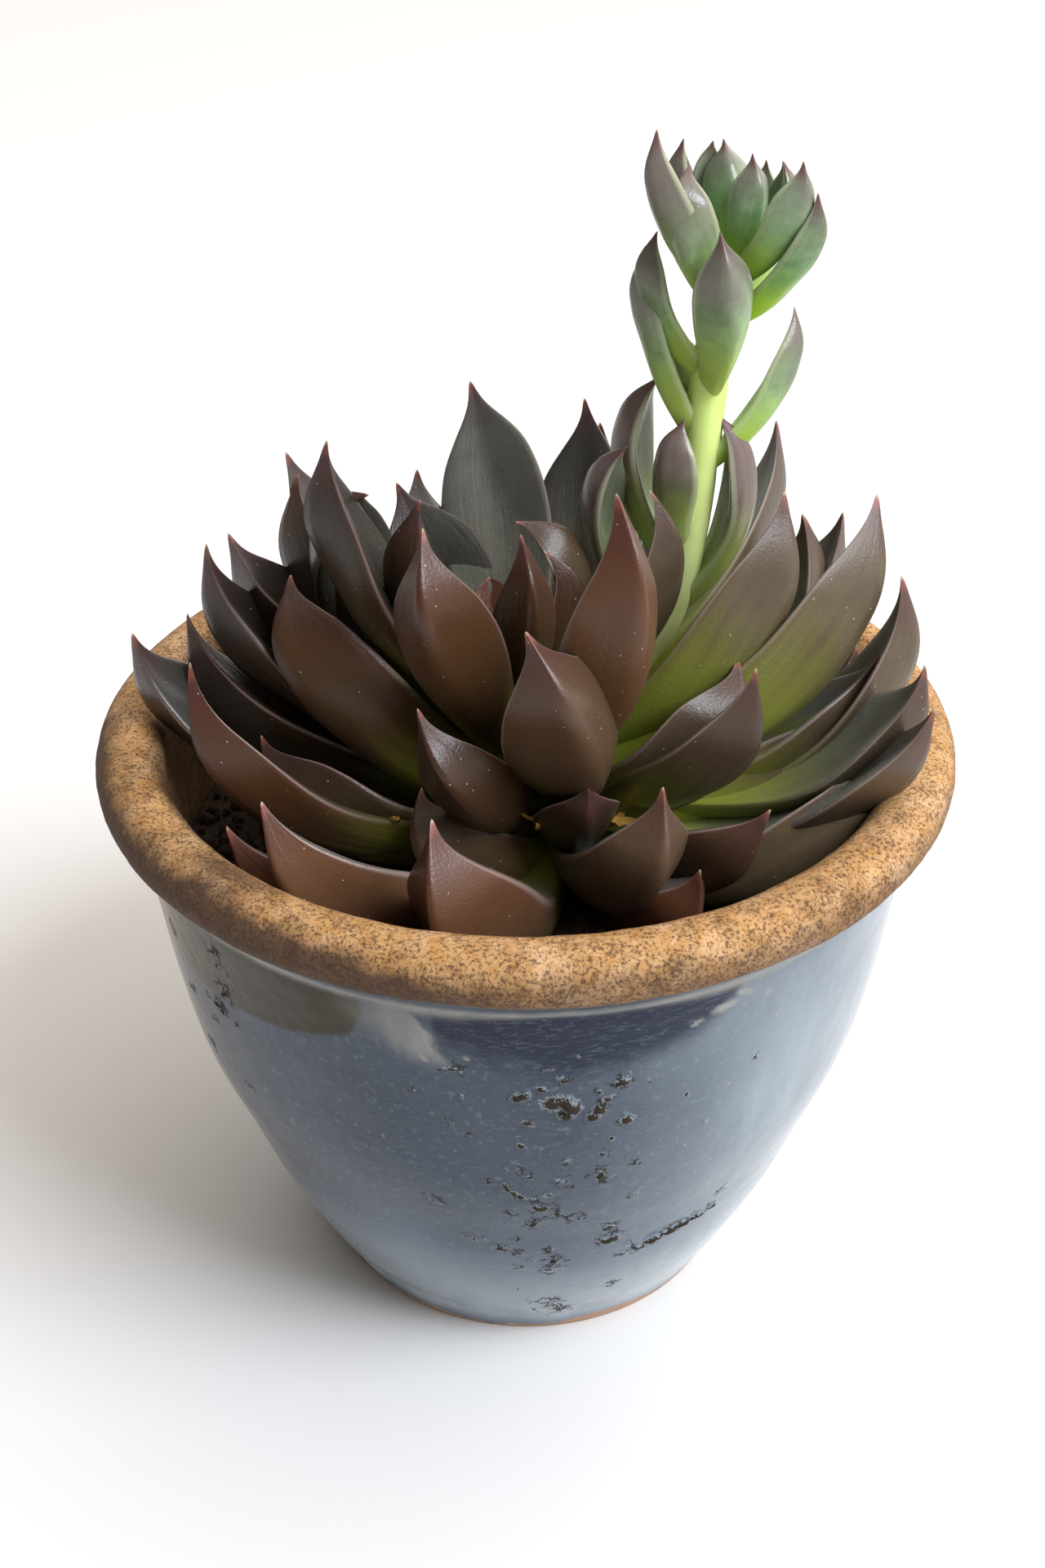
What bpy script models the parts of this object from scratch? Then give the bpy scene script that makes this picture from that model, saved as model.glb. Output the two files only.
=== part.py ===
"""A potted echeveria: a dark rosette with a flower stalk, in a round planter of glazed stoneware.

Metres, +Z up. +X is to the right and +Y away from the viewer of the plant's best side. The origin is the
middle of the pot's foot. The leaves are placed one by one, the way this plant grew, in tiers up its stem.
"""

from math import cos, pi, radians, sin
from typing import NamedTuple

import bmesh
import bpy
from mathutils import Vector

MM = 0.001

# The pot, in metres.
RIM_RADIUS = 82.5 * MM
RIM_THICKNESS = 12.6 * MM
RIM_HEIGHT = 11.0 * MM
POT_HEIGHT = 124.9 * MM
FOOT_RADIUS = 42.2 * MM
FOOT_RING_WIDTH = 9.0 * MM
FOOT_RECESS = 2.5 * MM
FLOOR_HEIGHT = 9.0 * MM
POT_SIDES = 36
RIM_POINTS = 9

# The bowl's outside, from just under the rim down to the foot: radius and height in mm.
BOWL_OUTSIDE = ((77.0, 112), (74.5, 98), (71.9, 80), (68.2, 62), (62.1, 45), (55.8, 28), (49.6, 15), (45.0, 6))

# The bowl's inside, from the floor up to just under the rim: radius and height in mm.
BOWL_INSIDE = ((35.0, 9), (43.0, 14), (55.5, 36), (62.5, 58), (66.8, 80), (69.3, 104))

# The potting compost and the hole that the plant's stem stands in.
SOIL_EDGE_HEIGHT = 96.0 * MM
SOIL_MIDDLE_HEIGHT = 98.5 * MM
GAP = 0.35 * MM
STEM_RADIUS = 8.0 * MM
STEM_BOTTOM = 84.0 * MM
STEM_SIDES = 14

# The crown leans a little to the left, from the foot of the stem to the growing point.
CROWN_FOOT = Vector((6.0, -4.0, 107.0)) * MM
CROWN_TOP = Vector((-5.0, 3.0, 130.0)) * MM
CROWN_FOOT_RADIUS = 9.5 * MM
CROWN_TOP_RADIUS = 6.0 * MM
LEAF_ROOT_DEPTH = 2.0 * MM
SPIRAL_STEP = 0.006

# A leaf's outline: its half width as a share of the whole, at stations from root to tip.
LEAF_OUTLINE = ((-0.05, 0.42), (0.0, 0.46), (0.12, 0.52), (0.28, 0.68), (0.43, 0.88), (0.57, 1.0), (0.7, 0.97),
                (0.81, 0.78), (0.89, 0.50), (0.95, 0.21), (0.985, 0.06), (1.0, 0.0))
LEAF_BODY = ((-0.05, 0.80), (0.0, 0.85), (0.15, 0.95), (0.5, 1.0), (0.78, 0.85), (0.91, 0.5), (0.97, 0.25), (1.0, 0.0))
LEAF_STATIONS = (-0.05, 0.0, 0.16, 0.33, 0.5, 0.66, 0.8, 0.91, 1.0)
LEAF_SIDES = 8
TROUGH = 0.32
INNER_SHARE = 0.25
THINNEST = 1.5 * MM
THICKNESS_SHARE = 0.17
WELD = 0.005 * MM

# The flower stalk's path from the crown up, in mm, and its radius at the foot and at the top.
STALK_PATH = ((10, 4, 118), (20, 5, 131), (27.5, 6, 144), (31, 7, 160), (32.5, 8, 176), (34, 8, 193), (36, 8, 205),
              (37, 8, 214))
STALK_FOOT_RADIUS = 3.1 * MM
STALK_TOP_RADIUS = 2.2 * MM
BRACT_STATIONS = (-0.05, 0.0, 0.25, 0.5, 0.75, 1.0)
BRACT_SIDES = 6
BRACT_ROOT_OFFSET = 1.2 * MM


class Leaf(NamedTuple):
    """A leaf's direction and form: degrees for the angles, millimetres for the sizes.

    Rise is the slope half way along. Curl is how far the leaf bends inward from root to tip. Roll turns the
    leaf about its root's direction, so that it bends sideways too.
    """

    azimuth: float
    rise: float
    curl: float
    length: float
    width: float
    roll: float = 0.0


# The leaves by tier, from the growing point down. A tier's key is its place on the crown: 1 top, 0 foot.
LEAVES = {
    1.0: (
        Leaf(-120, 88, 70, 26, 7),
        Leaf(-10, 108, 40, 22, 8, 30),
    ),
    0.9: (
        Leaf(5, 92, 100, 42, 14),
        Leaf(-75, 76, 70, 44, 12),
        Leaf(-30, 76, 40, 38, 11, -20),
    ),
    0.76: (
        Leaf(-62, 60, 85, 78, 20),
        Leaf(50, 38, 80, 56, 17, 20),
        Leaf(-15, 65, 60, 56, 13, 5),
        Leaf(-110, 62, 60, 62, 19, -10),
        Leaf(110, 24, 100, 70, 21),
    ),
    0.6: (
        Leaf(90, 34, 30, 80, 25, 30),
        Leaf(70, 40, 30, 70, 22, 20),
        Leaf(105, 30, 70, 64, 22, 20),
        Leaf(-160, 74, 30, 58, 18, 20),
        Leaf(195, 64, 25, 74, 22, 10),
        Leaf(165, 46, 50, 66, 22, -40),
        Leaf(-22, 54, 65, 72, 22, 20),
        Leaf(28, 40, 45, 78, 20, 20),
        Leaf(-70, 54, 90, 66, 22, -20),
    ),
    0.42: (
        Leaf(70, 36, 70, 76, 22, 10),
        Leaf(140, 42, 50, 74, 21, 10),
        Leaf(140, 74, 140, 80, 21, 20),
        Leaf(170, 36, 25, 68, 26, -10),
        Leaf(-18, 48, 70, 84, 24, 30),
        Leaf(20, 34, 70, 76, 21),
        Leaf(35, 36, 120, 74, 21, 10),
        Leaf(-50, 48, 110, 54, 23, 30),
        Leaf(-95, 48, 100, 54, 16, -30),
        Leaf(-150, 56, 80, 62, 23, -40),
    ),
    0.22: (
        Leaf(180, 40, 50, 78, 21),
        Leaf(175, 24, 80, 86, 24, 10),
        Leaf(185, 28, 60, 74, 22, -20),
        Leaf(185, 32, 70, 66, 21, -50),
        Leaf(-15, 30, 70, 82, 22, -10),
        Leaf(-25, 30, 70, 62, 20, 50),
        Leaf(-10, 28, 50, 66, 22, 10),
        Leaf(-5, 38, 100, 86, 21),
        Leaf(20, 46, 100, 76, 21),
        Leaf(-45, 44, 40, 64, 21),
        Leaf(-75, 32, 110, 60, 20, 10),
        Leaf(-80, 34, 50, 42, 16),
        Leaf(40, 26, 50, 68, 21),
        Leaf(70, 24, 50, 68, 21),
        Leaf(100, 26, 50, 68, 21),
        Leaf(130, 24, 50, 70, 21),
    ),
    0.05: (
        Leaf(-145, 36, 80, 84, 18, -20),
        Leaf(-140, 36, 90, 60, 20, -50),
        Leaf(-120, 28, 100, 74, 18, -30),
        Leaf(-125, 22, 90, 72, 15, -40),
        Leaf(-105, 42, 130, 42, 18, -40),
        Leaf(-100, 31, 120, 70, 22, -15),
        Leaf(-65, 14, 80, 48, 16, 10),
        Leaf(-55, 26, 50, 54, 19, 20),
        Leaf(-50, 36, 120, 72, 20, 40),
        Leaf(-20, 30, 60, 80, 20, -10),
        Leaf(22, 18, 50, 64, 20),
        Leaf(55, 16, 50, 62, 20),
        Leaf(85, 18, 50, 62, 20),
        Leaf(115, 16, 50, 62, 20),
        Leaf(148, 18, 50, 64, 20),
    ),
}

# The bracts on the flower stalk, each with the height of its root in mm, from the lowest up.
BRACTS = (
    (140, Leaf(165, 86, 70, 44, 11, 20)),
    (146, Leaf(5, 80, 70, 40, 10)),
    (154, Leaf(155, 80, 70, 37, 11, -10)),
    (158, Leaf(-145, 86, 20, 25, 11, 10)),
    (174, Leaf(5, 60, 40, 32, 7.5, 20)),
    (180, Leaf(-175, 72, 20, 36, 8)),
    (184, Leaf(125, 54, 20, 14, 6, 10)),
    (190, Leaf(-85, 66, 40, 35, 11, -10)),
    (192, Leaf(190, 68, 50, 28, 8)),
    (202, Leaf(-40, 54, 40, 32, 8, -10)),
    (204, Leaf(25, 68, 50, 26, 8)),
    (206, Leaf(-130, 72, 90, 28, 10, -10)),
    (206, Leaf(165, 72, 20, 27, 9, -10)),
    (208, Leaf(-145, 60, 40, 34, 9)),
    (208, Leaf(-75, 110, 10, 24, 9, 10)),
    (208, Leaf(-55, 82, 10, 23, 8, 10)),
    (208, Leaf(115, 72, 50, 24, 8)),
    (208, Leaf(60, 54, 50, 22, 7)),
    (210, Leaf(-50, 56, 40, 27, 9.5)),
)


def between(table, x):
    """The value at x of a curve through the table's points, straight between them."""
    for (x0, y0), (x1, y1) in zip(table, table[1:]):
        if x <= x1:
            return y0 + (y1 - y0) * (x - x0) / (x1 - x0)
    return table[-1][1]


def material(name, colour, roughness):
    """A plain Principled material; the colour is linear RGB."""
    made = bpy.data.materials.new(name)
    made.use_nodes = True
    shader = made.node_tree.nodes["Principled BSDF"]
    shader.inputs["Base Color"].default_value = (*colour, 1.0)
    shader.inputs["Roughness"].default_value = roughness
    shader.inputs["Metallic"].default_value = 0.0
    return made


def add_object(name, mesh, collection, look=None):
    """A new object with the mesh, in the collection."""
    made = bpy.data.objects.new(name, mesh)
    collection.objects.link(made)
    if look:
        mesh.materials.append(look)
    return made


def shade_round(mesh, angle=50.0):
    """Smooth shading, kept sharp where faces meet at more than the angle."""
    mesh.shade_smooth()
    mesh.set_sharp_from_angle(angle=radians(angle))


def applied(thing):
    """Replace an object's mesh by what its modifiers make of it."""
    graph = bpy.context.evaluated_depsgraph_get()
    mesh = bpy.data.meshes.new_from_object(thing.evaluated_get(graph))
    thing.modifiers.clear()
    thing.data = mesh
    return thing


def turned(name, profile, collection, look):
    """A solid turned about Z from a profile of (radius, height) points that starts and ends on the axis."""
    mesh = bpy.data.meshes.new(name)
    form = bmesh.new()
    points = [form.verts.new((radius, 0.0, height)) for radius, height in profile]
    for first, second in zip(points, points[1:]):
        form.edges.new((first, second))
    form.to_mesh(mesh)
    form.free()
    made = add_object(name, mesh, collection, look)
    screw = made.modifiers.new("turn", "SCREW")
    screw.steps = POT_SIDES
    screw.render_steps = POT_SIDES
    screw.use_merge_vertices = True
    screw.merge_threshold = 0.0001
    screw.use_smooth_shade = True
    applied(made)
    shade_round(made.data)
    return made


def rim_points():
    """The rolled rim's section, from its inner side over the top to its underside."""
    middle_radius = RIM_RADIUS - RIM_THICKNESS / 2
    middle_height = POT_HEIGHT - RIM_HEIGHT / 2
    start = radians(190)
    end = radians(-62)
    points = []
    for index in range(RIM_POINTS):
        angle = start + (end - start) * index / (RIM_POINTS - 1)
        points.append((middle_radius + RIM_THICKNESS / 2 * cos(angle), middle_height + RIM_HEIGHT / 2 * sin(angle)))
    return points


def make_pot(collection):
    """The planter: one fired piece with a foot ring, a round bowl and a rolled rim."""
    look = material("glazed stoneware", (0.155, 0.178, 0.21), 0.22)
    inside = [(radius * MM, height * MM) for radius, height in BOWL_INSIDE]
    outside = [(radius * MM, height * MM) for radius, height in BOWL_OUTSIDE]
    foot = [
        (FOOT_RADIUS, 1.0 * MM),
        (FOOT_RADIUS - 1.0 * MM, 0.0),
        (FOOT_RADIUS - FOOT_RING_WIDTH, 0.0),
        (FOOT_RADIUS - FOOT_RING_WIDTH - FOOT_RECESS, FOOT_RECESS),
        (0.0, FOOT_RECESS),
    ]
    return turned("pot", [(0.0, FLOOR_HEIGHT), *inside, *rim_points(), *outside, *foot], collection, look)


def make_soil(collection, cutters):
    """The compost that fills the bowl, with a plain hole for the plant's stem."""
    look = material("potting compost", (0.018, 0.013, 0.010), 0.95)
    wall = [(radius * MM - GAP, height * MM + GAP) for radius, height in BOWL_INSIDE]
    wall[-1] = (between([(z, r) for r, z in wall], SOIL_EDGE_HEIGHT), SOIL_EDGE_HEIGHT)
    slope = [(0.0, SOIL_MIDDLE_HEIGHT), (0.55 * RIM_RADIUS, SOIL_MIDDLE_HEIGHT - 0.5 * MM)]
    soil = turned("soil", [*slope, *reversed(wall), (0.0, FLOOR_HEIGHT + GAP)], collection, look)
    depth = SOIL_MIDDLE_HEIGHT - STEM_BOTTOM + 2 * GAP
    hole = stem_cylinder("stem hole", STEM_BOTTOM - GAP, depth + 10 * MM, STEM_RADIUS + GAP, cutters)
    hole.hide_render = True
    hole.display_type = "WIRE"
    cut = soil.modifiers.new("stem hole", "BOOLEAN")
    cut.operation = "DIFFERENCE"
    cut.object = hole
    return soil


def stem_cylinder(name, bottom, depth, radius, collection):
    """An upright cylinder round the foot of the stem."""
    form = bmesh.new()
    bmesh.ops.create_cone(form, cap_ends=True, segments=STEM_SIDES, radius1=radius, radius2=radius, depth=depth)
    bmesh.ops.translate(form, verts=form.verts, vec=(CROWN_FOOT.x, CROWN_FOOT.y, bottom + depth / 2))
    mesh = bpy.data.meshes.new(name)
    form.to_mesh(mesh)
    form.free()
    return add_object(name, mesh, collection)


def leaf_point(leaf, root, along, across, grow=0.0):
    """A point of a leaf's skin: along runs from 0 at the root to 1 at the tip, across is the section's angle."""
    azimuth = radians(leaf.azimuth)
    curl = radians(leaf.curl)
    start = radians(leaf.rise) - curl / 2
    roll = radians(leaf.roll)
    heading = Vector((cos(azimuth), sin(azimuth), 0.0))
    side = Vector((sin(azimuth), -cos(azimuth), 0.0))
    outward = heading * cos(start) + Vector((0.0, 0.0, sin(start)))
    upright = Vector((0.0, 0.0, cos(start))) - heading * sin(start)
    wide = side * cos(roll) + upright * sin(roll)
    inward = upright * cos(roll) - side * sin(roll)
    turn = curl * along
    midrib = root + (outward * sin(turn) + inward * (1.0 - cos(turn))) * leaf.length * MM / curl
    deep = inward * cos(turn) - outward * sin(turn)
    half = leaf.width * MM / 2 * between(LEAF_OUTLINE, along)
    body = (THINNEST + THICKNESS_SHARE * leaf.width * MM) * between(LEAF_BODY, along)
    share = INNER_SHARE if sin(across) > 0 else 1.0 - INNER_SHARE
    depth = TROUGH * half * (cos(across) ** 2 - 0.5) + (body * share + grow) * sin(across)
    return midrib + wide * (half + grow) * cos(across) + deep * depth


def leaf_body(name, leaf, root, stations, sides, collection, grow=0.0):
    """A closed leaf: a sphere whose poles are the root and the tip, drawn out to the leaf's form."""
    rings = len(stations) - 1
    form = bmesh.new()
    bmesh.ops.create_uvsphere(form, u_segments=sides, v_segments=rings, radius=1.0)
    for vert in form.verts:
        level = round(Vector((0.0, 0.0, -1.0)).angle(vert.co) / pi * rings)
        across = Vector((vert.co.x, vert.co.y)).angle_signed(Vector((1.0, 0.0))) if 0 < level < rings else 0.0
        if 0 < level < rings:
            vert.co = leaf_point(leaf, root, stations[level], across, grow)
        else:
            ends = (leaf_point(leaf, root, stations[level], 0.0), leaf_point(leaf, root, stations[level], pi))
            vert.co = (ends[0] + ends[1]) / 2
    bmesh.ops.recalc_face_normals(form, faces=form.faces)
    mesh = bpy.data.meshes.new(name)
    form.to_mesh(mesh)
    form.free()
    return add_object(name, mesh, collection)


def leaf_root(place, azimuth):
    """Where a leaf's midrib starts, inside the skin of the leaning crown."""
    radius = CROWN_FOOT_RADIUS + (CROWN_TOP_RADIUS - CROWN_FOOT_RADIUS) * place - LEAF_ROOT_DEPTH
    middle = CROWN_FOOT.lerp(CROWN_TOP, place)
    return middle + radius * Vector((cos(radians(azimuth)), sin(radians(azimuth)), 0.0))


def stalk_centre(height):
    """The middle of the stalk at a height in millimetres."""
    return Vector((between([(p[2], p[0]) for p in STALK_PATH], height),
                   between([(p[2], p[1]) for p in STALK_PATH], height), height)) * MM


def bract_root(height, azimuth):
    """Where a bract's midrib starts, just inside the stalk."""
    return stalk_centre(height) + BRACT_ROOT_OFFSET * Vector((cos(radians(azimuth)), sin(radians(azimuth)), 0.0))


def crown_cone(name, collection):
    """The short stem inside the rosette, leaning from its foot to the growing point."""
    axis = CROWN_TOP - CROWN_FOOT
    form = bmesh.new()
    bmesh.ops.create_cone(form, cap_ends=True, segments=STEM_SIDES, radius1=CROWN_FOOT_RADIUS,
                          radius2=CROWN_TOP_RADIUS, depth=axis.length)
    bmesh.ops.rotate(form, verts=form.verts, cent=(0, 0, 0), matrix=axis.to_track_quat("Z", "Y").to_matrix())
    bmesh.ops.translate(form, verts=form.verts, vec=CROWN_FOOT + axis / 2)
    mesh = bpy.data.meshes.new(name)
    form.to_mesh(mesh)
    form.free()
    return add_object(name, mesh, collection)


def outer_skin(form):
    """Keep a body's largest shell and drop the small closed hollows left between the roots of its parts."""
    waiting = set(form.verts)
    shells = []
    while waiting:
        shell = set()
        edge_of_shell = [waiting.pop()]
        while edge_of_shell:
            vert = edge_of_shell.pop()
            shell.add(vert)
            for edge in vert.link_edges:
                near = edge.other_vert(vert)
                if near in waiting:
                    waiting.discard(near)
                    edge_of_shell.append(near)
        shells.append(shell)
    shells.sort(key=len)
    for shell in shells[:-1]:
        bmesh.ops.delete(form, geom=list(shell), context="VERTS")


def fuse(base, repeats):
    """Join everything in the collection of repeats to the base as one body, then remove the repeats."""
    union = base.modifiers.new("grown together", "BOOLEAN")
    union.operation = "UNION"
    union.operand_type = "COLLECTION"
    union.collection = repeats
    union.solver = "EXACT"
    applied(base)
    for thing in list(repeats.objects):
        bpy.data.objects.remove(thing)
    bpy.data.collections.remove(repeats)
    form = bmesh.new()
    form.from_mesh(base.data)
    bmesh.ops.remove_doubles(form, verts=form.verts, dist=WELD)
    bmesh.ops.dissolve_degenerate(form, edges=form.edges, dist=WELD / 2)
    outer_skin(form)
    form.to_mesh(base.data)
    form.free()
    shade_round(base.data)
    return base


def stalk_tube(name, collection, grow=0.0):
    """The stalk's bare stem as a closed mesh, from a round curve that thins toward the top."""
    curve = bpy.data.curves.new(name, "CURVE")
    curve.dimensions = "3D"
    curve.bevel_depth = STALK_FOOT_RADIUS + grow
    curve.bevel_resolution = 2
    curve.use_fill_caps = True
    spline = curve.splines.new("POLY")
    spline.points.add(len(STALK_PATH) - 1)
    thinning = (STALK_TOP_RADIUS + grow) / (STALK_FOOT_RADIUS + grow)
    for index, (point, place) in enumerate(zip(spline.points, STALK_PATH)):
        point.co = (*(Vector(place) * MM), 1.0)
        point.radius = 1.0 + (thinning - 1.0) * index / (len(STALK_PATH) - 1)
    guide = add_object(name, curve, collection)
    graph = bpy.context.evaluated_depsgraph_get()
    mesh = bpy.data.meshes.new_from_object(guide.evaluated_get(graph))
    bpy.data.objects.remove(guide)
    form = bmesh.new()
    form.from_mesh(mesh)
    bmesh.ops.remove_doubles(form, verts=form.verts, dist=0.01 * MM)
    bmesh.ops.recalc_face_normals(form, faces=form.faces)
    form.to_mesh(mesh)
    form.free()
    return add_object(name, mesh, collection)


def new_collection(name):
    """A collection linked to the scene."""
    made = bpy.data.collections.new(name)
    bpy.context.scene.collection.children.link(made)
    return made


def make_stalk(name, collection, look=None, grow=0.0):
    """The flower stalk with its bracts, one body; grow swells it into the pocket it stands in."""
    stalk = stalk_tube(name, collection, grow)
    bracts = new_collection("bracts")
    for height, leaf in BRACTS:
        leaf_body("bract", leaf, bract_root(height, leaf.azimuth), BRACT_STATIONS, BRACT_SIDES, bracts, grow)
    fuse(stalk, bracts)
    if look:
        stalk.data.materials.clear()
        stalk.data.materials.append(look)
    return stalk


def make_rosette(collection, cutters):
    """The plant: a short stem and every leaf, grown together, with a pocket where the flower stalk leaves it."""
    look = material("echeveria leaf", (0.075, 0.052, 0.048), 0.38)
    foot = STEM_BOTTOM
    rosette = stem_cylinder("rosette", foot, CROWN_FOOT.z - foot + 1.0 * MM, STEM_RADIUS, collection)
    leaves = new_collection("leaves")
    crown_cone("crown", leaves)
    for tier, members in LEAVES.items():
        for index, leaf in enumerate(members):
            place = tier - SPIRAL_STEP * index
            leaf_body("leaf", leaf, leaf_root(place, leaf.azimuth), LEAF_STATIONS, LEAF_SIDES, leaves)
    fuse(rosette, leaves)
    rosette.data.materials.clear()
    rosette.data.materials.append(look)
    pocket = make_stalk("stalk pocket", cutters, grow=GAP)
    pocket.hide_render = True
    pocket.display_type = "WIRE"
    cut = rosette.modifiers.new("stalk pocket", "BOOLEAN")
    cut.operation = "DIFFERENCE"
    cut.object = pocket
    return rosette


def main():
    """Clear the scene and build the plant in its pot."""
    for thing in list(bpy.data.objects):
        bpy.data.objects.remove(thing)
    plant = new_collection("potted echeveria")
    cutters = new_collection("cutters")
    make_pot(plant)
    make_soil(plant, cutters)
    make_rosette(plant, cutters)
    make_stalk("flower_stalk", plant, material("green stalk", (0.28, 0.36, 0.09), 0.4))


if __name__ == "__main__":
    main()
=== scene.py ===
"""The looks of a potted echeveria: a dark rosette with a flower stalk, in a planter of glazed stoneware.

Every piece is built in the CAD frame: metres, +Z up, the middle of the pot's foot at the origin. The forms
repeat the values of the part's source, and are drawn here with finer faces and with their surface detail.
"""

from math import cos, pi, radians, sin, sqrt
from random import Random
from typing import NamedTuple

import bmesh
import bpy
import numpy as np
from bpy.props import FloatProperty, FloatVectorProperty, IntProperty, PointerProperty
from mathutils import Matrix, Vector, noise


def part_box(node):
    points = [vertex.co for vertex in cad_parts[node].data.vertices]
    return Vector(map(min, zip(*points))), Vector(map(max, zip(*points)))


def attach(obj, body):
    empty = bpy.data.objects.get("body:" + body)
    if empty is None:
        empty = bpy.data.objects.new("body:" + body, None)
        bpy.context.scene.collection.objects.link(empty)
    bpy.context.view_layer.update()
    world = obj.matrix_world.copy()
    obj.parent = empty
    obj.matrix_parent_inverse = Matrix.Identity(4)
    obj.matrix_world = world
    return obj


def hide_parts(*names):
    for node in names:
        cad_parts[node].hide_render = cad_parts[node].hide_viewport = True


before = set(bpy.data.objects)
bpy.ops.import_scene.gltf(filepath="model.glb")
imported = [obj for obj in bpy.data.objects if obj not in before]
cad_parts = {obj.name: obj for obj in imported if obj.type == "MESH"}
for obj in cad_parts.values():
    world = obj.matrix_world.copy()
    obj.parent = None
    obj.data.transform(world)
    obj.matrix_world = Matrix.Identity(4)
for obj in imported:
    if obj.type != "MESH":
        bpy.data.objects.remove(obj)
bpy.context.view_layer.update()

bl_info = {
    "name": "Potted echeveria",
    "version": (1, 0, 0),
    "blender": (4, 5, 0),
    "location": "3D View > Sidebar > Echeveria",
    "description": "Builds a dark echeveria with a flower stalk in a glazed stoneware planter",
    "category": "Add Mesh",
}

MM = 0.001

# The rolled rim, the bowl's floor and the foot ring, in millimetres.
RIM_THICKNESS = 12.6
RIM_HEIGHT = 11.0
BOWL_FLOOR = 9.0
FOOT_RING = ((42.2, 1.0), (41.9, 0.3), (41.2, 0.0), (33.2, 0.0), (32.0, 1.0), (30.7, 2.5), (16.0, 2.5))

# The bowl's outside and inside: height and radius in mm, from the foot up.
BOWL_OUTSIDE = ((6, 45.0), (15, 49.6), (28, 55.8), (45, 62.1), (62, 68.2), (80, 71.9), (98, 74.5), (112, 77.0))
BOWL_INSIDE = ((9, 35.0), (14, 43.0), (36, 55.5), (58, 62.5), (80, 66.8), (104, 69.3), (118.4, 69.9))

# How finely the pot is drawn. The side with the pits, in degrees of azimuth, has the most columns.
FINE_SIDE = (-160.0, -30.0)
FINE_COLUMNS = 320
PLAIN_COLUMNS = 156
INSIDE_ROWS = (9.0, 14.0, 24.0, 36.0, 48.0, 58.0, 69.0, 80.0, 88.0, 94.0, 98.0, 102.0, 106.0, 110.0, 114.0)
RIM_ROWS = 26
WALL_TOP = 112.6
WALL_BOTTOM = 6.0
WALL_STEP = 0.72

# The lumps in its clay and glaze, slow to fine: their size in metres, and where in the noise they start.
GLAZE_LUMPS = ((0.022,), (0.006, 3.0), (0.0021, 7.0))

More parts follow.
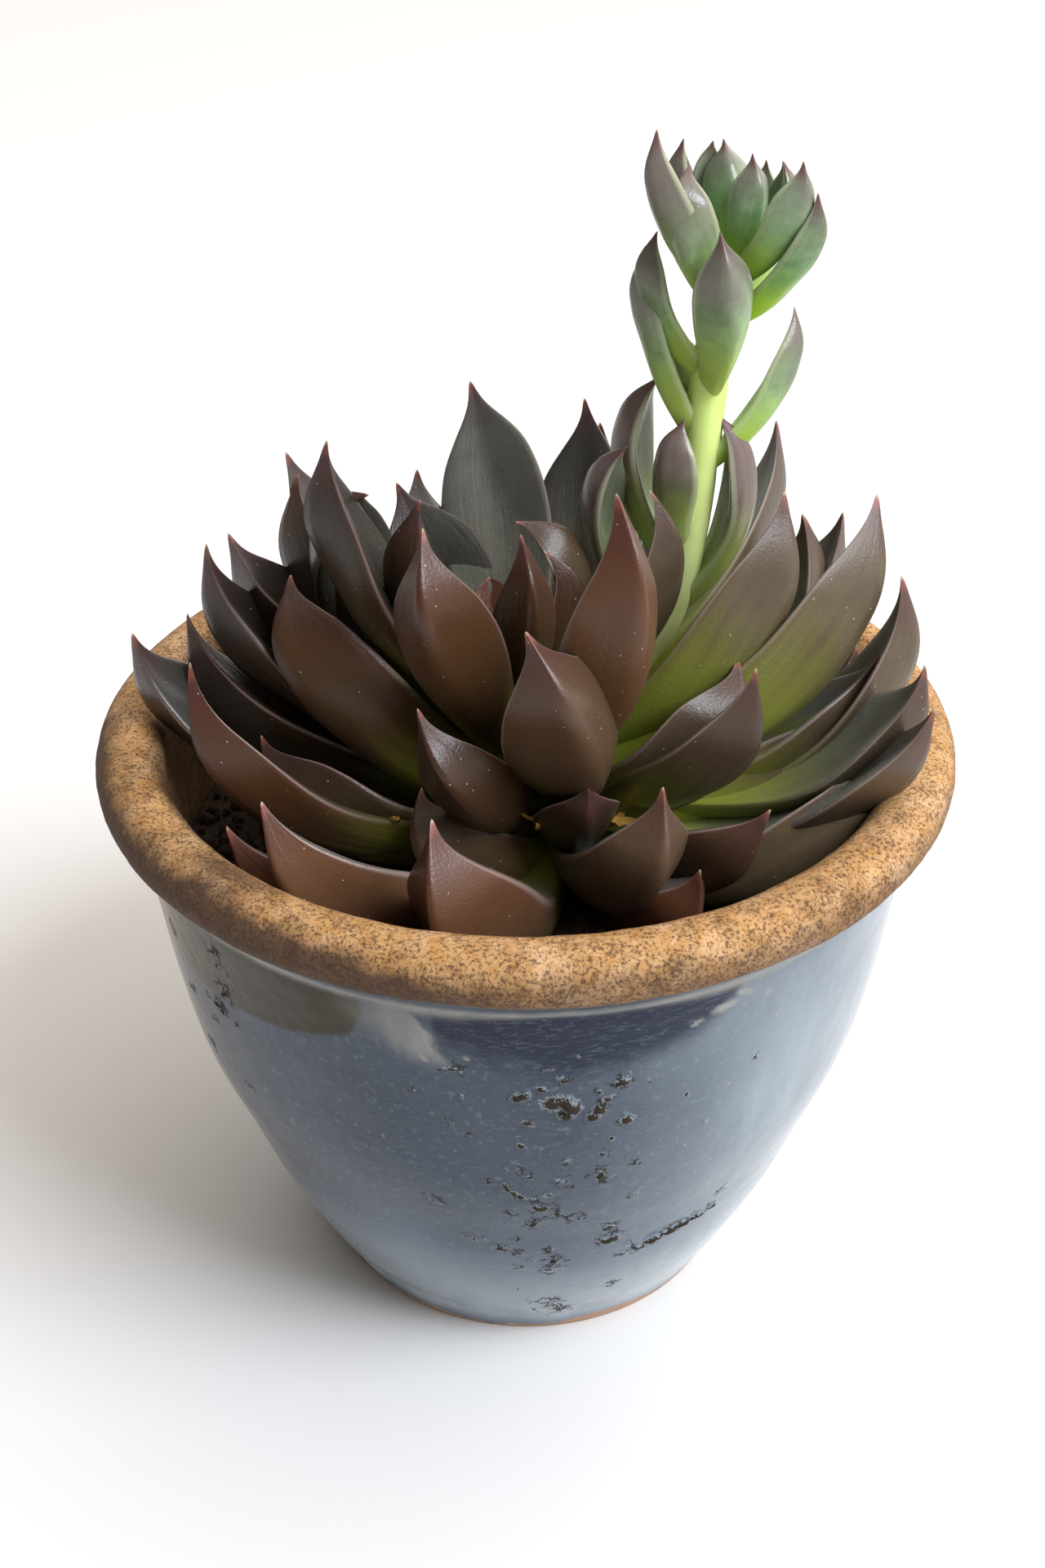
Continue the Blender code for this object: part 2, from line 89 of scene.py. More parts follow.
# Pits in the glaze: azimuth in degrees, height, half length and half width in mm, tilt in degrees, depth in mm.
PITS = (
    # the broken patch under the dark band
    (-91, 90, 2.3, 1.3, 35, 1.1), (-88, 92, 1.6, 0.7, -10, 0.7), (-86, 88, 3.4, 2.4, 0, 0.5),
    (-84, 87, 2.3, 1.6, -35, 1.3), (-85, 85, 1.7, 1.0, -5, 1.1), (-81, 84, 1.7, 1.0, -10, 1.1),
    (-80, 85.5, 1.2, 1.2, 55, 1.0), (-79, 88, 1.9, 0.9, 45, 0.8), (-85, 94, 1.7, 0.8, -45, 0.7),
    (-77, 92, 1.8, 0.9, 10, 0.9), (-80, 90, 0.7, 0.6, 0, 0.6), (-76, 82, 1.9, 1.3, 15, 0.9),
    (-90, 83, 1.5, 0.7, -30, 0.6), (-78, 77, 0.6, 0.9, 0, 0.5), (-79, 73, 0.8, 0.6, 0, 0.5),
    (-87, 97, 1.8, 0.5, 20, 0.4), (-76, 94, 0.9, 0.5, 60, 0.4), (-100, 96, 2.4, 0.7, 0, 0.4),
    # single pits round it
    (-99, 89, 0.7, 0.7, 0, 0.6), (-98, 79, 0.5, 0.5, 0, 0.4), (-91, 77, 0.8, 0.6, 0, 0.5),
    (-101, 82, 0.5, 0.5, 0, 0.4), (-106, 89, 0.7, 0.6, 0, 0.5), (-67, 85, 0.6, 0.6, 0, 0.5),
    (-68, 88, 0.5, 0.5, 0, 0.4), (-56, 88, 0.6, 0.5, 0, 0.4), (-63, 75, 0.8, 0.5, 20, 0.5),
    (-66, 70, 0.5, 0.4, 0, 0.4), (-54, 72, 0.6, 0.4, 20, 0.4), (-129, 67, 0.7, 1.8, 0, 0.2),
    # the slanting chain of pits
    (-84, 72, 1.0, 0.6, 10, 0.5), (-93, 70, 0.6, 0.6, 0, 0.6), (-91.5, 70, 0.6, 0.7, 0, 0.6),
    (-90, 68, 1.0, 0.6, 0, 0.7), (-96, 66, 0.7, 0.5, 0, 0.5), (-93.5, 65.5, 0.9, 0.6, -40, 0.6),
    (-93, 64, 1.1, 0.6, -55, 0.7), (-92, 62.5, 1.2, 0.7, -50, 0.7), (-91, 61.5, 1.3, 0.7, -30, 0.7),
    (-89.5, 60.5, 0.9, 0.6, 0, 0.5), (-87, 62, 1.5, 0.7, 40, 0.6), (-88, 57.5, 2.0, 0.8, -25, 0.8),
    (-85, 55, 1.2, 0.5, -20, 0.6), (-89, 51.5, 1.8, 0.8, 25, 0.8), (-87, 52.5, 0.9, 0.7, 0, 0.6),
    (-82, 52.5, 1.5, 0.5, -25, 0.5), (-85, 66, 1.7, 0.5, -20, 0.4), (-79, 67, 1.8, 1.0, 50, 0.8),
    (-73, 58, 0.6, 0.6, 0, 0.5), (-74, 69, 0.7, 0.6, 0, 0.5), (-105, 57, 1.7, 0.6, -30, 0.3),
    (-93, 55, 0.8, 0.5, 0, 0.4),
    # the low row
    (-101, 44.5, 0.8, 0.6, 0, 0.5), (-99.7, 43.8, 0.6, 0.9, 0, 0.6), (-98, 44, 0.6, 0.7, 0, 0.5),
    (-95, 41, 1.7, 0.8, 0, 0.8), (-92, 45, 0.8, 0.8, 0, 0.6), (-92, 39, 1.1, 0.5, -30, 0.4),
    (-89, 36.5, 0.7, 0.7, 0, 0.5), (-92, 33, 1.2, 0.5, 0, 0.4), (-85, 36, 1.9, 0.8, 30, 0.7),
    (-86, 40, 1.5, 0.6, 25, 0.5), (-86, 32, 1.4, 0.5, -10, 0.4), (-83, 32.5, 1.0, 0.5, 0, 0.3),
    (-76, 47, 1.4, 0.8, 25, 0.6), (-75, 42, 2.8, 1.1, 20, 0.9), (-71, 38, 1.2, 0.7, 0, 0.6),
    (-72, 35, 1.0, 0.6, -20, 0.5), (-71, 20, 1.2, 0.5, 35, 0.3), (-92, 23, 0.4, 1.1, 0, 0.3),
    # the long crack
    (-68.5, 36, 1.9, 0.7, 15, 0.7), (-66, 37.4, 2.3, 0.9, 20, 1.0), (-63, 38.4, 2.6, 0.8, 12, 1.0),
    (-60, 39.2, 2.4, 0.8, 10, 0.9), (-57, 40.0, 2.2, 0.6, 8, 0.8), (-54, 40.6, 2.0, 0.5, 5, 0.6),
    (-53, 46, 1.8, 0.4, 30, 0.3),
    # flaked spots at the left
    (-138, 105, 1.6, 0.8, 30, 0.6), (-138, 101, 1.3, 0.7, 30, 0.5), (-138, 94, 2.2, 0.7, 55, 0.8),
    (-141, 89.5, 1.9, 0.9, -35, 0.8), (-139.5, 88.5, 1.5, 0.8, 30, 0.7), (-144, 89, 1.3, 0.5, 30, 0.4),
    (-144, 83, 1.3, 0.6, 30, 0.5), (-137, 87, 0.7, 0.8, 0, 0.4), (-139, 69, 0.9, 0.7, 30, 0.4),
    (-153, 97, 2.0, 0.6, -80, 0.3), (-151, 84, 1.6, 0.6, -85, 0.3), (-150, 71, 1.6, 0.5, -75, 0.3),
    # worn places at the foot
    (-86, 15, 2.6, 1.1, -15, 0.3), (-83, 11, 3.4, 1.2, -10, 0.4), (-90, 17, 1.2, 0.6, 0, 0.3),
)

# Pale scuffs on the glaze: azimuth, height, half length, half width and tilt, in the same units as the pits.
SCUFFS = (
    (-63, 105, 3.2, 1.3, 10), (-60, 107, 2.2, 0.8, -20), (-67, 103, 1.6, 0.7, 30), (-56, 104.5, 1.1, 0.6, 0),
    (-53, 97, 1.5, 0.4, 30), (-104, 98, 1.7, 0.35, -50), (-83, 100, 0.5, 0.5, 0), (-98, 99, 0.9, 0.3, 20),
    (-72, 92, 0.5, 0.35, 0), (-60, 84, 0.5, 0.35, 0), (-112, 74, 0.6, 0.3, 30), (150, 88, 2.4, 0.9, 20),
    (70, 60, 1.6, 0.5, -30), (15, 80, 1.8, 0.6, 15), (-5, 52, 1.2, 0.5, -20),
)

# Bands just under the rim, each as azimuth in degrees and the band's lowest height in mm: painted dark
# reflections in dark blue and in olive, at the front and on the far side, and a scraped pale band.
DARK_BLUE_REFLECTION = ((-103, 103), (-99, 100), (-95, 98), (-90, 96), (-85, 95), (-77, 95.5), (-70, 98), (-66, 101),
                  (-62, 106))
OLIVE_REFLECTION = ((-176, 100), (-160, 95), (-144, 91.5), (-134, 93), (-124, 95), (-118, 98), (-114, 101),
              (-112, 106))
SCRAPED_BAND = ((-120, 107), (-115, 104.5), (-110, 101.5), (-106, 99), (-102, 97), (-100, 97))
FAR_BLUE_REFLECTION = ((30, 104), (42, 98), (58, 95), (80, 96), (95, 100), (104, 106))
FAR_OLIVE_REFLECTION = ((118, 106), (126, 99), (140, 95), (152, 97), (160, 104))

# How gradually the blue bands end at the bottom, in mm.
BLUE_SOFTNESS = 4.2

# The compost, in mm: its top, its radius there, its gap over the bowl's floor, and its rings and columns.
SOIL_EDGE_HEIGHT = 96.0
SOIL_MIDDLE_HEIGHT = 98.4
SOIL_RADIUS = 67.5
WALL_GAP = 0.35
SOIL_TOP_RINGS = 60
SOIL_COLUMNS = 150
CRUMB_COLUMNS = 40

# The crown leans a little to the left, from the foot of the stem to the growing point.
CROWN_FOOT = Vector((6.0, -4.0, 107.0)) * MM
CROWN_TOP = Vector((-5.0, 3.0, 130.0)) * MM
CROWN_FOOT_RADIUS = 9.5 * MM
CROWN_TOP_RADIUS = 6.0 * MM
LEAF_ROOT_DEPTH = 2.0 * MM
SPIRAL_STEP = 0.006
STEM_RADIUS = 8.0 * MM
STEM_BOTTOM = 84.0 * MM

# The stem's skin: green, red and pale as in a leaf, and the seed of its pattern.
CROWN_TINT = (0.8, 0.3, 0.1, 0.5)

# A broad leaf's outline, a slender one's, and the thickness of both, from root to tip. All end in a thin spine.
BROAD_OUTLINE = ((-0.05, 0.42), (0.0, 0.46), (0.12, 0.52), (0.28, 0.69), (0.43, 0.89), (0.57, 1.0), (0.7, 0.98),
                 (0.8, 0.80), (0.865, 0.52), (0.91, 0.28), (0.942, 0.145), (0.968, 0.08), (0.986, 0.045),
                 (1.0, 0.01))
SLENDER_OUTLINE = ((-0.05, 0.46), (0.0, 0.50), (0.12, 0.56), (0.28, 0.74), (0.43, 0.92), (0.55, 1.0),
                   (0.66, 0.96), (0.76, 0.76), (0.835, 0.50), (0.89, 0.31), (0.932, 0.18), (0.965, 0.095),
                   (0.986, 0.05), (1.0, 0.01))
LEAF_BODY = ((-0.05, 0.80), (0.0, 0.85), (0.15, 0.95), (0.5, 1.0), (0.72, 1.02), (0.82, 0.9), (0.88, 0.64),
             (0.92, 0.4), (0.95, 0.23), (0.975, 0.13), (0.99, 0.07), (1.0, 0.02))

# How deep the inner face is hollowed, how much of the thickness lies on that side, and the thickness itself.
TROUGH = 0.38
INNER_SHARE = 0.25
THINNEST = 2.0 * MM
THICKNESS_SHARE = 0.27

# How sharp a leaf's keel is, from 0 to 1, and how far its tip hooks inward, in mm.
LEAF_KEEL = (0.75, 1.0)
LEAF_HOOK = (1.0, 3.2)
BRACT_KEEL = 0.4
BRACT_HOOK = 0.6
HUSK_KEEL = 0.1
HUSK_HOOK = 0.2

# Points round each form, and rings along it.
CROWN_SIDES = 32
LEAF_SIDES = 28
BRACT_STATIONS = 36
BRACT_SIDES = 22
HUSK_STATIONS = 12
HUSK_SIDES = 10
STEM_RINGS = 90
STEM_SIDES = 28

# The flower stalk's middle in mm, from inside the crown to its end, and its radii.
STALK_PATH = ((10, 4, 118), (20, 5, 131), (27.5, 6, 144), (31, 7, 160), (32.5, 8, 176), (34, 8, 193),
              (36, 8, 205), (37, 8, 214))
STALK_FOOT_RADIUS = 3.2 * MM
STALK_TOP_RADIUS = 3.2 * MM
BRACT_ROOT_OFFSET = 1.2 * MM

# The camera, as solved from the photo: metres, radians and millimetres of lens.
CAMERA_PLACE = Vector((0.0, -0.3622, 0.3404))
CAMERA_PITCH = 0.5714
CAMERA_YAW = -0.0018
CAMERA_ROLL = -0.0062
CAMERA_LENS = 50.006
CAMERA_SENSOR = 36.0

# The floor's side in metres, the point that the window's light falls on, and where the room is brightest.
FLOOR_SIZE = 28.0
LIGHT_TARGET = Vector((0.0, 0.0, 0.1))
BRIGHT_SIDE = (0.74, 0.30, 0.60)


class Leaf(NamedTuple):
    """A leaf's direction and form: degrees for the angles, millimetres for the sizes.

    Green, red and pale say how its skin is tinted, each from 0 to 1, and plump multiplies the thickness. Pale,
    the grey bloom, is set high on the leaves at the right, partly as painted light.
    """

    azimuth: float
    rise: float
    curl: float
    length: float
    width: float
    roll: float = 0.0
    green: float = 0.4
    red: float = 0.2
    pale: float = 0.2
    plump: float = 1.0


# The leaves by tier, from the growing point down. A tier's key is its place on the crown: 1 top, 0 foot.
# The leaves at the right carry high pale values, partly as painted light.
LEAVES = {
    1.0: (
        Leaf(-120, 88, 70, 26, 7, 0, 0.5, 0.9, 0.1),
        Leaf(-10, 108, 40, 22, 8, 30, 0.4, 0.8, 0.1),
    ),
    0.9: (
        Leaf(5, 92, 100, 42, 14, 0, 0.2, 0.3, 0.6),
        Leaf(-75, 76, 70, 44, 12, 0, 0.1, 0.5, 0.1),
        Leaf(-30, 76, 40, 38, 11, -20, 0.2, 0.4, 0.1),
    ),
    0.76: (
        Leaf(-62, 60, 85, 78, 20, 0, 0.3, 0.8, 0.3, 1.2),
        Leaf(50, 38, 80, 56, 17, 20, 0.4, 0.1, 0.4),
        Leaf(-15, 65, 60, 56, 13, 5, 0.6, 0.2, 0.6),
        Leaf(-110, 62, 60, 62, 19, -10, 0.2, 0.6, 0.1, 1.15),
        Leaf(110, 24, 100, 70, 21, 0, 0.3, 0.1, 0.9),
    ),
    0.6: (
        Leaf(90, 34, 30, 80, 25, 30, 0.2, 0.1, 0.7),
        Leaf(70, 40, 30, 70, 22, 20, 0.2, 0.1, 0.2),
        Leaf(105, 30, 70, 64, 22, 20, 0.3, 0.1, 0.3),
        Leaf(-160, 74, 30, 58, 18, 20, 0.3, 0.4, 0.2),
        Leaf(195, 64, 25, 74, 22, 10, 0.5, 0.2, 0.0),
        Leaf(165, 46, 50, 66, 22, -40, 0.3, 0.2, 0.2),
        Leaf(-22, 54, 65, 72, 22, 20, 1.0, 0.1, 0.9),
        Leaf(28, 40, 45, 78, 20, 20, 0.9, 0.1, 0.8),
        Leaf(-70, 54, 90, 66, 22, -20, 0.2, 0.5, 0.4, 1.2),
    ),
    0.42: (
        Leaf(70, 36, 70, 76, 22, 10, 0.3, 0.1, 0.3),
        Leaf(140, 42, 50, 74, 21, 10, 0.4, 0.2, 0.3),
        Leaf(140, 74, 140, 80, 21, 20, 0.6, 0.3, 0.2),
        Leaf(170, 36, 25, 68, 26, -10, 0.5, 0.3, 0.0),
        Leaf(-18, 48, 70, 84, 24, 30, 1.0, 0.1, 1.0),
        Leaf(20, 34, 70, 76, 21, 0, 0.9, 0.1, 0.8),
        Leaf(35, 36, 120, 74, 21, 10, 0.8, 0.2, 0.6),
        Leaf(-50, 48, 110, 54, 23, 30, 0.6, 0.2, 0.6),
        Leaf(-95, 48, 100, 54, 16, -30, 0.4, 0.4, 0.1),
        Leaf(-150, 56, 80, 62, 23, -40, 0.5, 0.5, 0.2, 1.2),
    ),
    0.22: (
        Leaf(180, 40, 50, 78, 21, 0, 0.4, 0.2, 0.0),
        Leaf(175, 24, 80, 86, 24, 10, 0.3, 0.1, 0.2),
        Leaf(185, 28, 60, 74, 22, -20, 0.4, 0.2, 0.0),
        Leaf(185, 32, 70, 66, 21, -50, 0.4, 0.1, 0.3),
        Leaf(-15, 30, 70, 82, 22, -10, 1.0, 0.1, 1.0),
        Leaf(-25, 30, 70, 62, 20, 50, 0.9, 0.1, 0.8),
        Leaf(-10, 28, 50, 66, 22, 10, 1.0, 0.1, 0.9),
        Leaf(-5, 38, 100, 86, 21, 0, 0.9, 0.1, 1.0),
        Leaf(20, 46, 100, 76, 21, 0, 0.7, 0.2, 0.9),
        Leaf(-45, 44, 40, 64, 21, 0, 0.9, 0.1, 0.5),
        Leaf(-75, 32, 110, 60, 20, 10, 0.3, 0.5, 0.8, 1.3),
        Leaf(-80, 34, 50, 42, 16, 0, 0.3, 0.3, 0.0),
        Leaf(40, 26, 50, 68, 21, 0, 0.6, 0.2, 0.4),
        Leaf(70, 24, 50, 68, 21, 0, 0.5, 0.2, 0.4),
        Leaf(100, 26, 50, 68, 21, 0, 0.5, 0.2, 0.3),
        Leaf(130, 24, 50, 70, 21, 0, 0.5, 0.2, 0.3),
    ),
    0.05: (
        Leaf(-145, 36, 80, 84, 18, -20, 0.6, 0.6, 0.1),
        Leaf(-140, 36, 90, 60, 20, -50, 0.6, 0.2, 0.2),
        Leaf(-120, 28, 100, 74, 18, -30, 0.3, 0.9, 0.6, 1.6),
        Leaf(-125, 22, 90, 72, 15, -40, 0.2, 1.0, 0.3, 1.8),
        Leaf(-105, 42, 130, 42, 18, -40, 0.5, 0.4, 0.4, 1.3),
        Leaf(-100, 31, 120, 70, 22, -15, 0.55, 0.75, 0.3, 1.9),
        Leaf(-65, 14, 80, 48, 16, 10, 0.1, 1.0, 0.4, 2.4),
        Leaf(-55, 26, 50, 54, 19, 20, 0.7, 0.4, 0.3, 1.3),
        Leaf(-50, 36, 120, 72, 20, 40, 0.4, 0.3, 1.0),
        Leaf(-20, 30, 60, 80, 20, -10, 0.6, 0.3, 0.9),
        Leaf(22, 18, 50, 64, 20, 0, 0.6, 0.4, 0.5),
        Leaf(55, 16, 50, 62, 20, 0, 0.6, 0.4, 0.5),
        Leaf(85, 18, 50, 62, 20, 0, 0.5, 0.5, 0.4),
        Leaf(115, 16, 50, 62, 20, 0, 0.5, 0.4, 0.4),
        Leaf(148, 18, 50, 64, 20, 0, 0.5, 0.4, 0.3),
    ),
}

# Dried husks among the lowest leaves: the place of each one's root in mm, and its form.
HUSKS = (
    ((-0.8, -31.4, 121.4), Leaf(-52, 24, 70, 7.5, 2.8, 30, plump=0.12)),
    ((2.6, -32.0, 119.5), Leaf(-80, 40, 50, 6, 2.0, -40, plump=0.12)),
    ((17.8, -25.6, 117.6), Leaf(-112, 20, 60, 8, 2.4, 20, plump=0.12)),
    ((13.6, -27.4, 118.0), Leaf(-18, 12, 40, 9, 1.8, -30, plump=0.12)),
    ((-24.0, -25.4, 117.0), Leaf(-98, 30, 50, 5.5, 2.2, 10, plump=0.12)),
)

# The bracts on the flower stalk, each with the height of its root in mm, from the lowest up.
BRACTS = (
    (140, Leaf(165, 86, 70, 44, 11, 20, 0.0, 0.9, 0.1)),
    (146, Leaf(5, 80, 70, 40, 10, 0, 0.1, 0.9, 0.1)),
    (154, Leaf(155, 80, 70, 37, 11, -10, 0.1, 0.9, 0.1)),
    (158, Leaf(-145, 86, 20, 25, 11, 10, 0.1, 0.7, 0.1)),
    (174, Leaf(5, 60, 40, 32, 7.5, 20, 0.6, 0.3, 0.2)),
    (180, Leaf(-175, 72, 20, 36, 8, 0, 0.5, 0.3, 0.5)),
    (184, Leaf(125, 54, 20, 14, 6, 10, 0.0, 0.9, 0.1)),
    (190, Leaf(-85, 66, 40, 35, 11, -10, 0.5, 0.3, 0.4)),
    (192, Leaf(190, 68, 50, 28, 8, 0, 0.3, 0.2, 0.1)),
    (202, Leaf(-40, 54, 40, 32, 8, -10, 1.0, 0.1, 0.1)),
    (204, Leaf(25, 68, 50, 26, 8, 0, 0.6, 0.3, 0.2)),
    (206, Leaf(-130, 72, 90, 28, 10, -10, 0.5, 0.4, 0.3)),
    (206, Leaf(165, 72, 20, 27, 9, -10, 0.2, 0.4, 0.2)),
    (208, Leaf(-145, 60, 40, 34, 9, 0, 0.1, 0.5, 0.2)),
    (208, Leaf(-75, 110, 10, 24, 9, 10, 0.8, 0.1, 0.4)),
    (208, Leaf(-55, 82, 10, 23, 8, 10, 0.8, 0.1, 0.4)),
    (208, Leaf(115, 72, 50, 24, 8, 0, 0.3, 0.4, 0.2)),
    (208, Leaf(60, 54, 50, 22, 7, 0, 0.3, 0.4, 0.2)),
    (210, Leaf(-50, 56, 40, 27, 9.5, 0, 0.9, 0.1, 0.5)),
)


def linear(code):
    """Linear RGBA from an sRGB hex colour."""
    values = [int(code[start:start + 2], 16) / 255 for start in (1, 3, 5)]
    return (*[v / 12.92 if v <= 0.04045 else ((v + 0.055) / 1.055) ** 2.4 for v in values], 1.0)


def smooth_curve(table, x):
    """Values at x of a smooth curve through the table's points, level beyond its ends."""
    keys, values = np.array(table, float).T
    slopes = np.gradient(values, keys)
    x = np.clip(x, keys[0], keys[-1])
    left = np.clip(np.searchsorted(keys, x) - 1, 0, len(keys) - 2)
    step = keys[left + 1] - keys[left]
    t = (x - keys[left]) / step
    rising = t * t * (3 - 2 * t)
    bend = step * t * (1 - t) * (slopes[left] * (1 - t) - slopes[left + 1] * t)
    return values[left] * (1 - rising) + values[left + 1] * rising + bend


def soft_step(low, high, x):
    """0 below low, 1 above high and a smooth rise between them."""
    t = np.clip((x - low) / (high - low), 0.0, 1.0)
    return t * t * (3 - 2 * t)


def smooth_noise(points, size, offset=0.0):
    """Noise from -1 to 1 at each point, with lumps of about that size in metres."""
    shift = Vector((offset, offset * 0.7, -offset))
    return np.array([noise.noise(Vector(point) / size + shift) for point in points])


def in_scene(name, data):
    """A new object in the scene that shows this data."""
    thing = bpy.data.objects.new(name, data)
    bpy.context.scene.collection.objects.link(thing)
    return thing


def turn_outward(mesh, merge=0.0):
    """Turn a closed mesh's faces outwards, after merging its doubles where a distance is given."""
    form = bmesh.new()
    form.from_mesh(mesh)
    if merge:
        bmesh.ops.remove_doubles(form, verts=form.verts, dist=merge)
    bmesh.ops.recalc_face_normals(form, faces=form.faces)
    form.to_mesh(mesh)
    form.free()


def ring_faces(rings, across, start=0, capped=True):
    """Faces between rings of points; a cap's middle point follows the last ring, the first ring's cap first."""
    faces = []
    for low in range(start, start + (rings - 1) * across, across):
        for column in range(across):
            beside = (column + 1) % across
            faces.append((low + column, low + beside, low + across + beside, low + across + column))
    if capped:
        last = start + (rings - 1) * across
        pole = last + across
        for column in range(across):
            beside = (column + 1) % across
            faces.append((pole, start + beside, start + column))
            faces.append((pole + 1, last + column, last + beside))
    return faces


def add_piece(name, points, faces, looks, marks=None, face_looks=None):
    """A smooth-shaded mesh object in the scene, with float or colour attributes on its points."""
    mesh = bpy.data.meshes.new(name)
    mesh.from_pydata([tuple(point) for point in points], [], faces)
    for key, values in (marks or {}).items():
        values = np.asarray(values, np.float32)
        kind, field = ("FLOAT_COLOR", "color") if values.ndim == 2 else ("FLOAT", "value")
        mesh.attributes.new(key, kind, "POINT").data.foreach_set(field, values.ravel())
    for look in looks:
        mesh.materials.append(look)
    if face_looks is not None:
        mesh.polygons.foreach_set("material_index", face_looks)
    turn_outward(mesh)
    mesh.shade_smooth()
    return in_scene(name, mesh)


def stand_for(piece, slot, *nodes):
    """Let a finished piece ride on the plant's body and stand for CAD nodes, whose parts it hides. Its slot is
    not used.
    """
    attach(piece, "root")
    if nodes:
        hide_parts(*nodes)


def shape_tree(name, inlets, outlet):
    """An empty geometry node tree with named inputs, a geometry and then numbers, and its input sockets."""
    tree = bpy.data.node_groups.new(name, "GeometryNodeTree")
    for place, key in enumerate(inlets):
        kind = "NodeSocketFloat" if place else "NodeSocketGeometry"
        tree.interface.new_socket(key, in_out="INPUT", socket_type=kind)
    tree.interface.new_socket(outlet, in_out="OUTPUT", socket_type="NodeSocketGeometry")
    return tree, tree.nodes.new("NodeGroupInput").outputs


def run_tree(thing, tree, sizes):
    """Run a geometry node tree on an object with these sizes, and give the plain mesh that it makes."""
    modifier = thing.modifiers.new(tree.name, "NODES")
    modifier.node_group = tree
    for item in tree.interface.items_tree:
        if item.in_out == "INPUT" and item.name in sizes:
            modifier[item.identifier] = sizes[item.name]
    graph = bpy.context.evaluated_depsgraph_get()
    mesh = bpy.data.meshes.new_from_object(thing.evaluated_get(graph))
    thing.modifiers.clear()
    return mesh


def new_material(name):
    """A material with an empty node tree, and its tree."""
    look = bpy.data.materials.new(name)
    look.use_nodes = True
    look.node_tree.nodes.clear()
    return look, look.node_tree


def node(tree, kind, inputs=None, out=0, **settings):
    """Add a node with its settings; each input is a link where it is a socket. Gives one of its outputs."""
    made = tree.nodes.new(kind)
    for key, value in settings.items():
        setattr(made, key, value)
    for key, value in (inputs or {}).items():
        if isinstance(value, bpy.types.NodeSocket):
            tree.links.new(value, made.inputs[key])
        else:
            made.inputs[key].default_value = value
    return made.outputs[out] if len(made.outputs) else made


# ---------------------------------------------------------------------------------------------- materials


